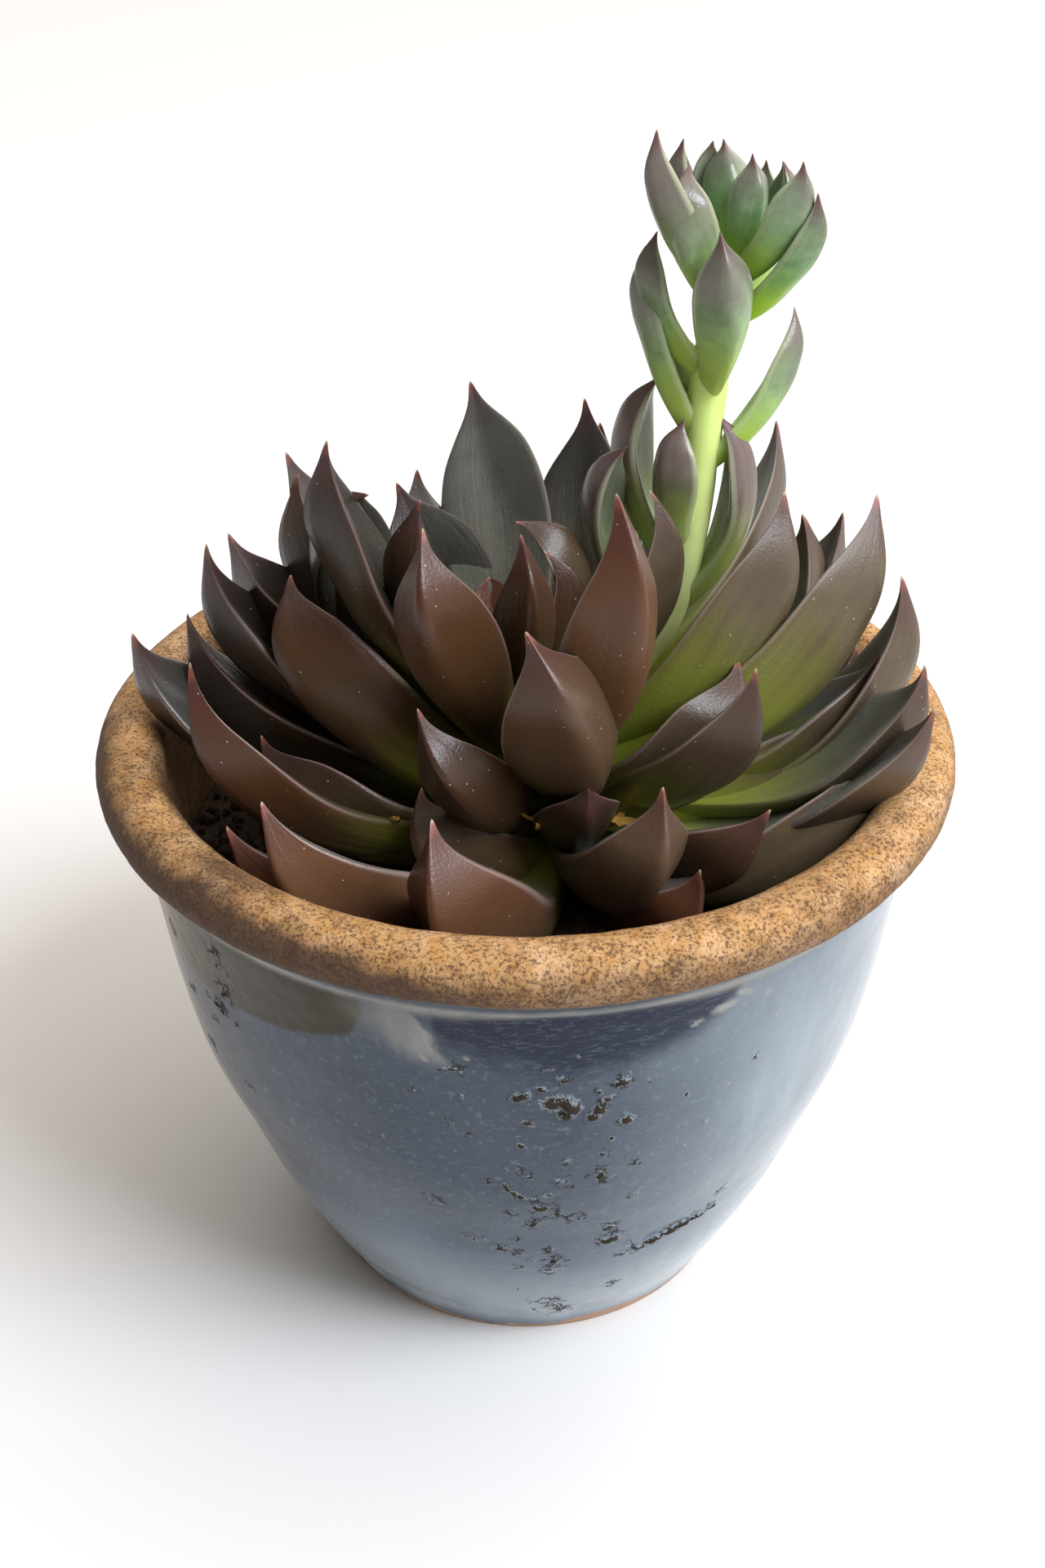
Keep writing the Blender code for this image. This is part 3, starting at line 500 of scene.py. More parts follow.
def stoneware_clay(settings):
    """Unglazed stoneware, wheel thrown and fired to buff.

    Iron in the clay bleeds through as dense dark specks, and years of watering have stained the rim's lower
    edge. Painted shade darkens that edge further at the front and left and lays a leaf's shadow on the top, and
    the inner slope is darker all round. It is dry to the eye: rough, with no gloss of its own.
    """
    look, tree = new_material("unglazed stoneware")
    place = node(tree, "ShaderNodeTexCoord", out="Object")
    stained_and_shaded = node(tree, "ShaderNodeAttribute", out="Fac", attribute_name="stain_and_shade")
    # Blotches about 7 mm across, where the kiln burned the clay lighter or darker, golden ones of 3 mm and pale
    # ones of 10 mm; a fine grain; iron specks of 0.2 to 0.5 mm, which crowd in some places; and grit of 1.5 mm.
    blotches, golden, pale, grain, specks, crowd, grit = (
        node(tree, "ShaderNodeTexNoise",
             {"Vector": place, "Scale": scale, "Detail": detail, "Roughness": roughness})
        for scale, detail, roughness in (
            (140.0, 5.0, 0.65), (340.0, 3.0, 0.6), (95.0, 5.0, 0.7), (3600.0, 2.0, 0.6), (1500.0, 5.0, 0.8),
            (260.0, 5.0, 0.7), (600.0, 6.0, 0.7)))
    # Hair cracks 3 mm apart, bent by noise.
    bent = node(tree, "ShaderNodeTexNoise", {"Vector": place, "Scale": 500.0, "Detail": 2.0}, out="Color")
    bent = node(tree, "ShaderNodeVectorMath", {0: bent, 3: 0.0035}, operation="SCALE")
    bent = node(tree, "ShaderNodeVectorMath", {0: place, 1: bent}, operation="ADD")
    cracks = node(tree, "ShaderNodeTexVoronoi", {"Vector": bent, "Scale": 330.0}, out="Distance",
                  feature="DISTANCE_TO_EDGE")
    cracks = node(tree, "ShaderNodeMapRange", {"Value": cracks, "From Min": 0.06, "From Max": 0.015},
                  interpolation_type="SMOOTHSTEP")
    # How much of each blotch shows: where its noise starts to show, where it is full, and its strongest.
    gilt, scuffed, burnt = (
        node(tree, "ShaderNodeMapRange", {"Value": pattern, "From Min": low, "From Max": high, "To Max": most},
             interpolation_type="SMOOTHSTEP")
        for pattern, low, high, most in (
            (golden, 0.48, 0.64, 0.65), (pale, 0.5, 0.66, 0.5), (crowd, 0.5, 0.72, 0.4)))
    light_grain = node(tree, "ShaderNodeMapRange",
                       {"Value": grain, "From Min": 0.5, "From Max": 0.8, "To Max": 0.5})
    # The staining and the painted shade darken the clay together.
    dark = node(tree, "ShaderNodeMath", {0: blotches, 1: 0.9}, operation="ADD")
    dark = node(tree, "ShaderNodeMath", {0: dark, 1: stained_and_shaded}, operation="MULTIPLY", use_clamp=True)
    dark = node(tree, "ShaderNodeMath", {0: dark, 1: 0.86}, operation="MULTIPLY")
    level = node(tree, "ShaderNodeMath", {0: crowd, 1: 0.22, 2: specks}, operation="MULTIPLY_ADD")
    level = node(tree, "ShaderNodeMath", {0: stained_and_shaded, 1: 0.05, 2: level}, operation="MULTIPLY_ADD")
    speckled = node(tree, "ShaderNodeMapRange",
                    {"Value": level, "From Min": 0.6, "From Max": 0.72, "To Min": 0.0, "To Max": 0.85},
                    interpolation_type="SMOOTHSTEP")
    veined = node(tree, "ShaderNodeMapRange",
                  {"Value": crowd, "From Min": 0.46, "From Max": 0.6, "To Max": 0.35})
    veined = node(tree, "ShaderNodeMath", {0: veined, 1: cracks}, operation="MULTIPLY")
    speckled = node(tree, "ShaderNodeMath", {0: speckled, 1: veined}, operation="MAXIMUM")
    # Each colour lies over the ones before it.
    colour = linear("#92693A")
    for shown, over in (
            (blotches, (*settings.clay, 1.0)), (gilt, linear("#A3712F")), (scuffed, linear("#D2B08C")),
            (light_grain, linear("#D3AE82")), (burnt, linear("#7C5228")), (dark, linear("#3E2A1E")),
            (speckled, linear("#3F2817"))):
        colour = node(tree, "ShaderNodeMix", {0: shown, 6: colour, 7: over}, out=2, data_type="RGBA")
    relief = node(tree, "ShaderNodeMath", {0: speckled, 1: -0.6, 2: grit}, operation="MULTIPLY_ADD")
    bumped = node(tree, "ShaderNodeBump", {"Height": relief, "Strength": 0.55, "Distance": 0.0006})
    rough = node(tree, "ShaderNodeMapRange", {"Value": blotches, "To Min": 0.62, "To Max": 0.8})
    shader = node(tree, "ShaderNodeBsdfPrincipled",
                  {"Base Color": colour, "Roughness": rough, "Normal": bumped, "IOR": 1.5,
                   "Specular IOR Level": 0.35})
    node(tree, "ShaderNodeOutputMaterial", {"Surface": shader})
    return look


def stoneware_glaze(settings):
    """A slate-blue stoneware glaze, dipped and fired.

    It is a glass: smooth and glossy, though lime has dulled it a little. Under the rim it has bands of dark
    blue and olive that are painted dark reflections; it is paler where it ran thinly toward the foot, and
    crawled and pitted where gas escaped. Its right side is painted paler, as painted light, and its left side
    darker, as painted shade. The pits are near black at the bottom, and the clay shows where the foot was
    wiped.
    """
    look, tree = new_material("dipped stoneware glaze")
    place = node(tree, "ShaderNodeTexCoord", out="Object")
    tones = node(tree, "ShaderNodeAttribute", out="Color", attribute_name="glaze_tones_and_light")
    bared = node(tree, "ShaderNodeAttribute", out="Alpha", attribute_name="glaze_tones_and_light")
    # Blue and olive are painted dark reflections under the rim; the third channel holds the paler glaze toward
    # the foot together with painted light on the right.
    blue, olive, thin = node(tree, "ShaderNodeSeparateColor", {0: tones}).node.outputs
    pitting, shaded_side, worn = (node(tree, "ShaderNodeAttribute", out="Fac", attribute_name=name)
                            for name in ("pitting", "shaded_side", "worn"))
    # Clouds about 20 mm across, a mottle of 1.5 mm where the glaze boiled and healed, raggedness of 1 mm at the
    # pits' edges, and the wandering edge of the wiped foot, 17 mm from bend to bend.
    clouds, mottle, ragged, wander = (
        node(tree, "ShaderNodeTexNoise",
             {"Vector": place, "Scale": scale, "Detail": detail, "Roughness": roughness})
        for scale, detail, roughness in (
            (50.0, 4.0, 0.55), (650.0, 4.0, 0.65), (950.0, 5.0, 0.75), (60.0, 4.0, 0.6)))
    # Runs 6 mm wide and 24 mm long, where the glaze flowed down the wall.
    stretched = node(tree, "ShaderNodeMapping", {"Vector": place, "Scale": (1.0, 1.0, 0.25)})
    runs = node(tree, "ShaderNodeTexNoise",
                {"Vector": stretched, "Scale": 170.0, "Detail": 3.0, "Roughness": 0.5})
    # Painted shade: the glaze is darkened on the left side.
    shaded_side = node(tree, "ShaderNodeMath", {0: shaded_side, 1: 0.6}, operation="MULTIPLY")
    fleck = node(tree, "ShaderNodeMapRange",
                 {"Value": mottle, "From Min": 0.54, "From Max": 0.72, "To Max": 0.4},
                 interpolation_type="SMOOTHSTEP")
    # Paler where the glaze ran thinly toward the foot, and painted light that makes the right side paler.
    milky_and_lit = node(tree, "ShaderNodeMath", {0: runs, 1: 0.9}, operation="ADD")
    milky_and_lit = node(tree, "ShaderNodeMath", {0: milky_and_lit, 1: thin}, operation="MULTIPLY", use_clamp=True)
    scraped = node(tree, "ShaderNodeMath", {0: runs, 1: 1.5, 2: 0.1}, operation="MULTIPLY_ADD")
    scraped = node(tree, "ShaderNodeMath", {0: bared, 1: scraped}, operation="MULTIPLY", use_clamp=True)
    # Fine scratches 2.4 mm long and 0.7 mm apart, which show most on the painted dark blue reflection.
    rubbed = node(tree, "ShaderNodeMapping",
                  {"Vector": place, "Rotation": (0.3, 0.5, 0.2), "Scale": (1.0, 1.0, 3.5)})
    rubbed = node(tree, "ShaderNodeTexNoise",
                  {"Vector": rubbed, "Scale": 420.0, "Detail": 6.0, "Roughness": 0.8, "Distortion": 0.8})
    rubbed = node(tree, "ShaderNodeMapRange",
                  {"Value": rubbed, "From Min": 0.5, "From Max": 0.7, "To Max": 0.8},
                  interpolation_type="SMOOTHSTEP")
    seen = node(tree, "ShaderNodeMath", {0: blue, 1: 0.3, 2: 0.22}, operation="MULTIPLY_ADD")
    seen = node(tree, "ShaderNodeMath", {0: seen, 1: olive}, operation="SUBTRACT", use_clamp=True)
    rubbed = node(tree, "ShaderNodeMath", {0: rubbed, 1: seen}, operation="MULTIPLY")
    # Pinholes up to 0.6 mm across, about 4 mm apart.
    holes = node(tree, "ShaderNodeTexVoronoi", {"Vector": place, "Scale": 240.0})
    chosen = node(tree, "ShaderNodeSeparateColor", {0: holes.node.outputs["Color"]})
    holes = node(tree, "ShaderNodeMath", {0: chosen, 1: 0.09, 2: holes.node.outputs["Distance"]},
                 operation="MULTIPLY_ADD")
    holes = node(tree, "ShaderNodeMapRange",
                 {"Value": holes, "From Min": 0.085, "From Max": 0.065, "To Max": 0.75})
    # Hair cracks round the pits, 5 mm apart and bent by noise.
    bent = node(tree, "ShaderNodeTexNoise", {"Vector": place, "Scale": 300.0, "Detail": 4.0, "Roughness": 0.7},
                out="Color")
    bent = node(tree, "ShaderNodeVectorMath", {0: bent, 3: 0.006}, operation="SCALE")
    bent = node(tree, "ShaderNodeVectorMath", {0: place, 1: bent}, operation="ADD")
    cracks = node(tree, "ShaderNodeTexVoronoi", {"Vector": bent, "Scale": 210.0}, out="Distance",
                  feature="DISTANCE_TO_EDGE")
    cracks = node(tree, "ShaderNodeMapRange", {"Value": cracks, "From Min": 0.05, "From Max": 0.02})
    open_here = node(tree, "ShaderNodeMath", {0: worn, 1: 0.55, 2: clouds}, operation="MULTIPLY_ADD")
    open_here = node(tree, "ShaderNodeMath", {0: mottle, 1: 0.6, 2: open_here}, operation="MULTIPLY_ADD")
    open_here = node(tree, "ShaderNodeMapRange", {"Value": open_here, "From Min": 1.16, "From Max": 1.26})
    cracks = node(tree, "ShaderNodeMath", {0: cracks, 1: open_here}, operation="MULTIPLY")
    # The pits' soft field is broken up by noise before it is cut off, so their edges are ragged.
    broken = node(tree, "ShaderNodeMath", {0: ragged, 1: 1.9, 2: pitting}, operation="MULTIPLY_ADD")
    # A pale halo round each pit: partly glaze broken at the pit's edge and partly a painted highlight on that
    # edge.
    halo = node(tree, "ShaderNodeMapRange",
                {"Value": broken, "From Min": 1.27, "From Max": 1.38, "To Max": 0.55},
                interpolation_type="SMOOTHSTEP")
    pit = node(tree, "ShaderNodeMapRange", {"Value": broken, "From Min": 1.41, "From Max": 1.46},
               interpolation_type="SMOOTHSTEP")
    near = node(tree, "ShaderNodeMapRange", {"Value": pitting, "From Min": 0.12, "From Max": 0.3})
    halo = node(tree, "ShaderNodeMath", {0: halo, 1: near}, operation="MULTIPLY")
    pit = node(tree, "ShaderNodeMath", {0: pit, 1: near}, operation="MULTIPLY")
    pit = node(tree, "ShaderNodeMath", {0: pit, 1: cracks}, operation="MAXIMUM")
    # The bottom of each pit is near black to dark brown.
    raw = node(tree, "ShaderNodeMix", {0: mottle, 6: linear("#060505"), 7: linear("#3A2F22")},
               out=2, data_type="RGBA")
    # The foot: a wiped edge that wanders between 1 and 5 mm up.
    height = node(tree, "ShaderNodeSeparateXYZ", {0: place}, out="Z")
    edge = node(tree, "ShaderNodeMath", {0: wander, 1: 0.011, 2: -0.0035}, operation="MULTIPLY_ADD")
    edge = node(tree, "ShaderNodeMath", {0: height, 1: edge}, operation="SUBTRACT")
    bare = node(tree, "ShaderNodeMapRange", {"Value": edge, "From Min": 0.0004, "From Max": -0.0004},
                interpolation_type="SMOOTHSTEP")
    biscuit = node(tree, "ShaderNodeMix", {0: mottle, 6: linear("#8A6A50"), 7: linear("#C9A58A")},
                   out=2, data_type="RGBA")
    # Each colour lies over the ones before it.
    colour = linear("#384352")
    for shown, over in (
            (clouds, (*settings.glaze, 1.0)), (shaded_side, linear("#262E3A")), (fleck, linear("#77828F")),
            (milky_and_lit, linear("#A3AFB4")), (blue, linear("#0F1B33")), (olive, linear("#2A2000")),
            (scraped, linear("#8A8A86")), (rubbed, linear("#7C868F")), (holes, linear("#15181C")),
            (halo, linear("#A9B1B5")), (pit, raw), (bare, biscuit)):
        colour = node(tree, "ShaderNodeMix", {0: shown, 6: colour, 7: over}, out=2, data_type="RGBA")
    dull = node(tree, "ShaderNodeMath", {0: pit, 1: bare}, operation="MAXIMUM")
    dull = node(tree, "ShaderNodeMath", {0: scraped, 1: 0.45, 2: dull},
                operation="MULTIPLY_ADD", use_clamp=True)
    rough = node(tree, "ShaderNodeMapRange", {"Value": dull, "To Min": 0.16, "To Max": 0.75})
    # The skin of the glaze: a slow orange peel of 4 mm, and pinholes in the mottle.
    peel = node(tree, "ShaderNodeTexNoise", {"Vector": place, "Scale": 240.0, "Detail": 2.0, "Roughness": 0.5})
    relief = node(tree, "ShaderNodeMath", {0: mottle, 1: 0.12, 2: peel}, operation="MULTIPLY_ADD")
    relief = node(tree, "ShaderNodeMath", {0: pit, 1: -0.9, 2: relief}, operation="MULTIPLY_ADD")
    bumped = node(tree, "ShaderNodeBump", {"Height": relief, "Strength": 0.35, "Distance": 0.0005})
    shader = node(tree, "ShaderNodeBsdfPrincipled",
                  {"Base Color": colour, "Roughness": rough, "Normal": bumped, "IOR": 1.45,
                   "Specular IOR Level": 0.3})
    node(tree, "ShaderNodeOutputMaterial", {"Surface": shader})
    return look


def damp_compost(name):
    """Peat-based potting compost, damp: nearly black, matt, with brown fibres in it."""
    look, tree = new_material(name)
    place = node(tree, "ShaderNodeTexCoord", out="Object")
    # Grains of 2 mm, and lumps of 8 mm where the fibres show.
    grains = node(tree, "ShaderNodeTexNoise",
                  {"Vector": place, "Scale": 500.0, "Detail": 5.0, "Roughness": 0.7})
    lumps = node(tree, "ShaderNodeTexNoise", {"Vector": place, "Scale": 120.0, "Detail": 3.0})
    fibre = node(tree, "ShaderNodeMapRange",
                 {"Value": lumps, "From Min": 0.58, "From Max": 0.72, "To Max": 0.6})
    colour = linear("#1C1613")
    for shown, over in ((grains, "#473629"), (fibre, "#5A3A26")):
        colour = node(tree, "ShaderNodeMix", {0: shown, 6: colour, 7: linear(over)}, out=2, data_type="RGBA")
    bumped = node(tree, "ShaderNodeBump", {"Height": grains, "Strength": 0.8, "Distance": 0.001})
    shader = node(tree, "ShaderNodeBsdfPrincipled",
                  {"Base Color": colour, "Roughness": 0.9, "Normal": bumped, "Specular IOR Level": 0.25})
    node(tree, "ShaderNodeOutputMaterial", {"Surface": shader})
    return look


def leaf_marks(tree):
    """What a leaf's points say: along it, across it, on its inner face, its three tints and its seed."""
    along, breadth, inner = (node(tree, "ShaderNodeAttribute", out="Fac", attribute_name=name)
                             for name in ("along", "breadth", "inner"))
    tint = node(tree, "ShaderNodeAttribute", out="Color", attribute_name="tint")
    seed = node(tree, "ShaderNodeAttribute", out="Alpha", attribute_name="tint")
    return along, breadth, inner, node(tree, "ShaderNodeSeparateColor", {0: tint}).node.outputs, seed


def leaf_skin_material(settings):
    """The living skin of an echeveria leaf, grown with a thin coat of wax.

    The wax makes it satin, with broad soft lights. Strong sun has turned the blade brown-purple; the shaded
    base stays green, the margins and the spine are red to pink, and the powdery bloom greys the inner face. The
    bloom is set heavier on the leaves at the right, partly as painted light; a grey painted sheen lies where
    the leaf is seen at a low angle, pale painted glints speck it, and a painted highlight lines each margin.
    """
    look, tree = new_material("waxy echeveria leaf")
    place = node(tree, "ShaderNodeTexCoord", out="Object")
    along, breadth, inner, (greenness, redness, bloom), seed = leaf_marks(tree)
    # Mottling of about 5 mm and a grain of 0.5 mm, the size of the skin's cells grouped.
    mottle = node(tree, "ShaderNodeTexNoise",
                  {"Vector": place, "Scale": 200.0, "Detail": 5.0, "Roughness": 0.6})
    grain = node(tree, "ShaderNodeTexNoise",
                 {"Vector": place, "Scale": 1800.0, "Detail": 3.0, "Roughness": 0.6})
    # Faint lines along the leaf, about 1.5 mm apart.
    lanes = node(tree, "ShaderNodeCombineXYZ", {0: breadth, 1: along, 2: seed})
    lanes = node(tree, "ShaderNodeMapping", {"Vector": lanes, "Scale": (7.0, 1.6, 40.0)})
    lines = node(tree, "ShaderNodeTexNoise", {"Vector": lanes, "Scale": 1.0, "Detail": 3.0, "Roughness": 0.55})
    warm = node(tree, "ShaderNodeMath", {0: redness, 1: 1.7}, operation="POWER")
    warm = node(tree, "ShaderNodeMath", {0: warm, 1: 0.66}, operation="MULTIPLY")
    # The lower half has an olive cast, in streaks.
    cast = node(tree, "ShaderNodeMapRange", {"Value": along, "From Min": 0.85, "From Max": 0.25})
    cast = node(tree, "ShaderNodeMath", {0: cast, 1: lines}, operation="MULTIPLY")
    cast = node(tree, "ShaderNodeMath", {0: cast, 1: 0.9}, operation="MULTIPLY", use_clamp=True)
    # The bloom lies in patches, where nothing has rubbed it off; the leaves at the right carry more of it,
    # partly as painted light.
    patch = node(tree, "ShaderNodeMapRange",
                 {"Value": mottle, "From Min": 0.3, "From Max": 0.7, "To Min": 0.72, "To Max": 1.0})
    powder = node(tree, "ShaderNodeMath", {0: bloom, 1: patch}, operation="MULTIPLY")
    outer_powder = node(tree, "ShaderNodeMath", {0: powder, 1: 0.34}, operation="MULTIPLY")
    inner_powder = node(tree, "ShaderNodeMath", {0: powder, 1: 0.8}, operation="MULTIPLY")
    inside = linear("#121713")
    for shown, over in ((lines, "#251F19"), (inner_powder, "#868C86")):
        inside = node(tree, "ShaderNodeMix", {0: shown, 6: inside, 7: linear(over)}, out=2, data_type="RGBA")
    facing = node(tree, "ShaderNodeMath", {0: inner, 1: 0.75}, operation="MULTIPLY")
    # The green base, which climbs higher on some leaves, with a ragged upper end.
    reach = node(tree, "ShaderNodeMath", {0: lines, 1: -0.25, 2: along}, operation="MULTIPLY_ADD")
    reach = node(tree, "ShaderNodeMath", {0: greenness, 1: -0.55, 2: reach}, operation="MULTIPLY_ADD")
    green = node(tree, "ShaderNodeMapRange", {"Value": reach, "From Min": 0.12, "From Max": -0.32},
                 interpolation_type="SMOOTHSTEP")
    leafy = node(tree, "ShaderNodeMix", {0: along, 6: linear("#9DA83C"), 7: linear("#4E4A26")},
                 out=2, data_type="RGBA")
    # Red margins with a paler line on their very edge, a painted highlight along the rolled margin; a ruddy
    # tip, and the pink spine with its dry point: which mark each follows, where it starts, where it is full,
    # and its strongest.
    side = node(tree, "ShaderNodeMath", {0: breadth}, operation="ABSOLUTE")
    margin, line, ruddy, spine, point = (
        node(tree, "ShaderNodeMapRange", {"Value": mark, "From Min": low, "From Max": high, "To Max": most},
             interpolation_type="SMOOTHSTEP")
        for mark, low, high, most in (
            (side, 0.9, 1.0, 0.25), (side, 0.98, 0.997, 0.3), (along, 0.84, 0.94, 0.45),
            (along, 0.955, 0.985, 0.65), (along, 0.985, 1.0, 0.45)))
    upper = node(tree, "ShaderNodeMapRange", {"Value": along, "From Min": 0.15, "From Max": 0.6})
    margin = node(tree, "ShaderNodeMath", {0: margin, 1: upper}, operation="MULTIPLY")
    line = node(tree, "ShaderNodeMath", {0: line, 1: upper}, operation="MULTIPLY")
    # Painted glints: pale specks a quarter of a millimetre across and about 3 mm apart.
    painted_glints = node(tree, "ShaderNodeTexVoronoi", {"Vector": place, "Scale": 330.0}, out="Distance")
    painted_glints = node(tree, "ShaderNodeMapRange",
                {"Value": painted_glints, "From Min": 0.055, "From Max": 0.035, "To Max": 0.6})
    # Painted sheen of the wax: where the leaf is seen at a low angle, a pale grey is painted over its colour.
    grazing_sheen = node(tree, "ShaderNodeLayerWeight", {"Blend": 0.35}, out="Facing")
    grazing_sheen = node(tree, "ShaderNodeMath", {0: grazing_sheen, 1: 0.08}, operation="MULTIPLY")
    # Each colour lies over the ones before it.
    colour = (*settings.blade, 1.0)
    for shown, over in (
            (lines, linear("#30271A")), (mottle, linear("#150D0C")), (warm, linear("#6A3518")),
            (cast, linear("#4E3F10")), (outer_powder, linear("#85745A")), (facing, inside), (green, leafy),
            (margin, linear("#5A3230")), (line, linear("#A8958A")), (ruddy, linear("#4A2A2B")),
            (spine, (*settings.spine, 1.0)), (point, linear("#D9C6A4")), (painted_glints, linear("#C9BFAE")),
            (grazing_sheen, linear("#7E7878"))):
        colour = node(tree, "ShaderNodeMix", {0: shown, 6: colour, 7: over}, out=2, data_type="RGBA")
    rough = node(tree, "ShaderNodeMath", {0: powder, 1: 0.06, 2: 0.24}, operation="MULTIPLY_ADD")
    rough = node(tree, "ShaderNodeMath", {0: mottle, 1: 0.1, 2: rough}, operation="MULTIPLY_ADD")
    # The inner faces are finely crinkled lengthwise, about 1 mm from fold to fold.
    folds = node(tree, "ShaderNodeMapping", {"Vector": lanes, "Scale": (1.7, 5.0, 1.0)})
    crinkles = node(tree, "ShaderNodeTexNoise",
                    {"Vector": folds, "Scale": 1.0, "Detail": 2.0, "Distortion": 0.8})
    crinkles = node(tree, "ShaderNodeMath", {0: crinkles, 1: inner}, operation="MULTIPLY")
    relief = node(tree, "ShaderNodeMath", {0: lines, 1: 1.2, 2: grain}, operation="MULTIPLY_ADD")
    relief = node(tree, "ShaderNodeMath", {0: crinkles, 1: 2.5, 2: relief}, operation="MULTIPLY_ADD")
    bumped = node(tree, "ShaderNodeBump", {"Height": relief, "Strength": 0.22, "Distance": 0.0004})
    shader = node(tree, "ShaderNodeBsdfPrincipled",
                  {"Base Color": colour, "Roughness": rough, "Normal": bumped, "IOR": 1.45,
                   "Specular IOR Level": 0.4})
    node(tree, "ShaderNodeOutputMaterial", {"Surface": shader})
    return look


def bract_material(settings):
    """The skin of the flower stalk's bracts, grown with thinner wax than the leaves'.

    It is green and a little translucent, and turns purple toward the tip.
    """
    look, tree = new_material("waxy bract")
    place = node(tree, "ShaderNodeTexCoord", out="Object")
    along, breadth, inner, (greenness, redness, powder), seed = leaf_marks(tree)
    # Mottling of 3 mm, a grain of 0.5 mm and faint lines along the bract.
    mottle = node(tree, "ShaderNodeTexNoise",
                  {"Vector": place, "Scale": 320.0, "Detail": 5.0, "Roughness": 0.65})
    grain = node(tree, "ShaderNodeTexNoise", {"Vector": place, "Scale": 2200.0, "Detail": 3.0})
    lanes = node(tree, "ShaderNodeCombineXYZ", {0: breadth, 1: along, 2: seed})
    lanes = node(tree, "ShaderNodeMapping", {"Vector": lanes, "Scale": (4.0, 1.0, 40.0)})
    lines = node(tree, "ShaderNodeTexNoise", {"Vector": lanes, "Scale": 1.0, "Detail": 3.0})
    low = node(tree, "ShaderNodeMix", {0: greenness, 6: linear("#93A155"), 7: (*settings.bract, 1.0)},
               out=2, data_type="RGBA")
    middle = linear("#5C8856")
    for shown, over in ((mottle, "#92C082"), (redness, "#6B5840")):
        middle = node(tree, "ShaderNodeMix", {0: shown, 6: middle, 7: linear(over)}, out=2, data_type="RGBA")
    high = node(tree, "ShaderNodeMix", {0: lines, 6: linear("#46363D"), 7: linear("#705C5D")},
                out=2, data_type="RGBA")
    step = node(tree, "ShaderNodeMath", {0: mottle, 1: -0.22, 2: along}, operation="MULTIPLY_ADD")
    rising = node(tree, "ShaderNodeMapRange", {"Value": step, "From Min": 0.08, "From Max": 0.5},
                  interpolation_type="SMOOTHSTEP")
    late = node(tree, "ShaderNodeMath", {0: greenness, 1: -0.22, 2: step}, operation="MULTIPLY_ADD")
    side = node(tree, "ShaderNodeMath", {0: breadth}, operation="ABSOLUTE")
    purple, line, tip = (
        node(tree, "ShaderNodeMapRange", {"Value": mark, "From Min": start, "From Max": full, "To Max": most},
             interpolation_type="SMOOTHSTEP")
        for mark, start, full, most in (
            (late, 0.2, 0.64, 0.86), (side, 0.93, 1.0, 0.35), (along, 0.86, 0.98, 0.8)))
    bloom = node(tree, "ShaderNodeMath", {0: powder, 1: 0.25}, operation="MULTIPLY")
    inside = node(tree, "ShaderNodeMath", {0: inner, 1: 0.35}, operation="MULTIPLY")
    # Each colour lies over the ones before it.
    colour = low
    for shown, over in (
            (rising, middle), (purple, high), (bloom, linear("#A3AC9C")), (inside, linear("#6C8C66")),
            (line, linear("#C9C8A8")), (tip, linear("#5A3439"))):
        colour = node(tree, "ShaderNodeMix", {0: shown, 6: colour, 7: over}, out=2, data_type="RGBA")
    rough = node(tree, "ShaderNodeMath", {0: mottle, 1: 0.12, 2: 0.17}, operation="MULTIPLY_ADD")
    bumped = node(tree, "ShaderNodeBump", {"Height": grain, "Strength": 0.2, "Distance": 0.0003})
    shader = node(tree, "ShaderNodeBsdfPrincipled",
                  {"Base Color": colour, "Roughness": rough, "Normal": bumped, "IOR": 1.45,
                   "Subsurface Weight": 0.12, "Subsurface Radius": (0.8, 1.0, 0.3), "Subsurface Scale": 0.003})
    node(tree, "ShaderNodeOutputMaterial", {"Surface": shader})
    return look


def stem_material(settings):
    """A green flower stem, grown soft and full of water: light goes a little way into it."""
    look, tree = new_material("fleshy green stem")
    place = node(tree, "ShaderNodeTexCoord", out="Object")
    height = node(tree, "ShaderNodeSeparateXYZ", {0: place}, out="Z")
    # Fibres 1.5 mm apart that run upward, and a mottle of 4 mm.
    fibres = node(tree, "ShaderNodeMapping", {"Vector": place, "Scale": (1.0, 1.0, 0.12)})
    fibres = node(tree, "ShaderNodeTexNoise", {"Vector": fibres, "Scale": 700.0, "Detail": 3.0})
    mottle = node(tree, "ShaderNodeTexNoise", {"Vector": place, "Scale": 260.0, "Detail": 4.0})
    rise = node(tree, "ShaderNodeMapRange", {"Value": height, "From Min": 0.135, "From Max": 0.19})
    shade = node(tree, "ShaderNodeMath", {0: fibres, 1: 0.4}, operation="MULTIPLY")
    colour = linear("#C6CC92")
    for shown, over in ((rise, (*settings.stem, 1.0)), (shade, linear("#D3DC96"))):
        colour = node(tree, "ShaderNodeMix", {0: shown, 6: colour, 7: over}, out=2, data_type="RGBA")
    rough = node(tree, "ShaderNodeMath", {0: mottle, 1: 0.2, 2: 0.36}, operation="MULTIPLY_ADD")
    bumped = node(tree, "ShaderNodeBump", {"Height": fibres, "Strength": 0.3, "Distance": 0.0003})
    shader = node(tree, "ShaderNodeBsdfPrincipled",
                  {"Base Color": colour, "Roughness": rough, "Normal": bumped, "IOR": 1.45,
                   "Subsurface Weight": 0.2, "Subsurface Radius": (0.9, 1.0, 0.3), "Subsurface Scale": 0.004})
    node(tree, "ShaderNodeOutputMaterial", {"Surface": shader})
    return look


# ------------------------------------------------------------------------------------------------ planter


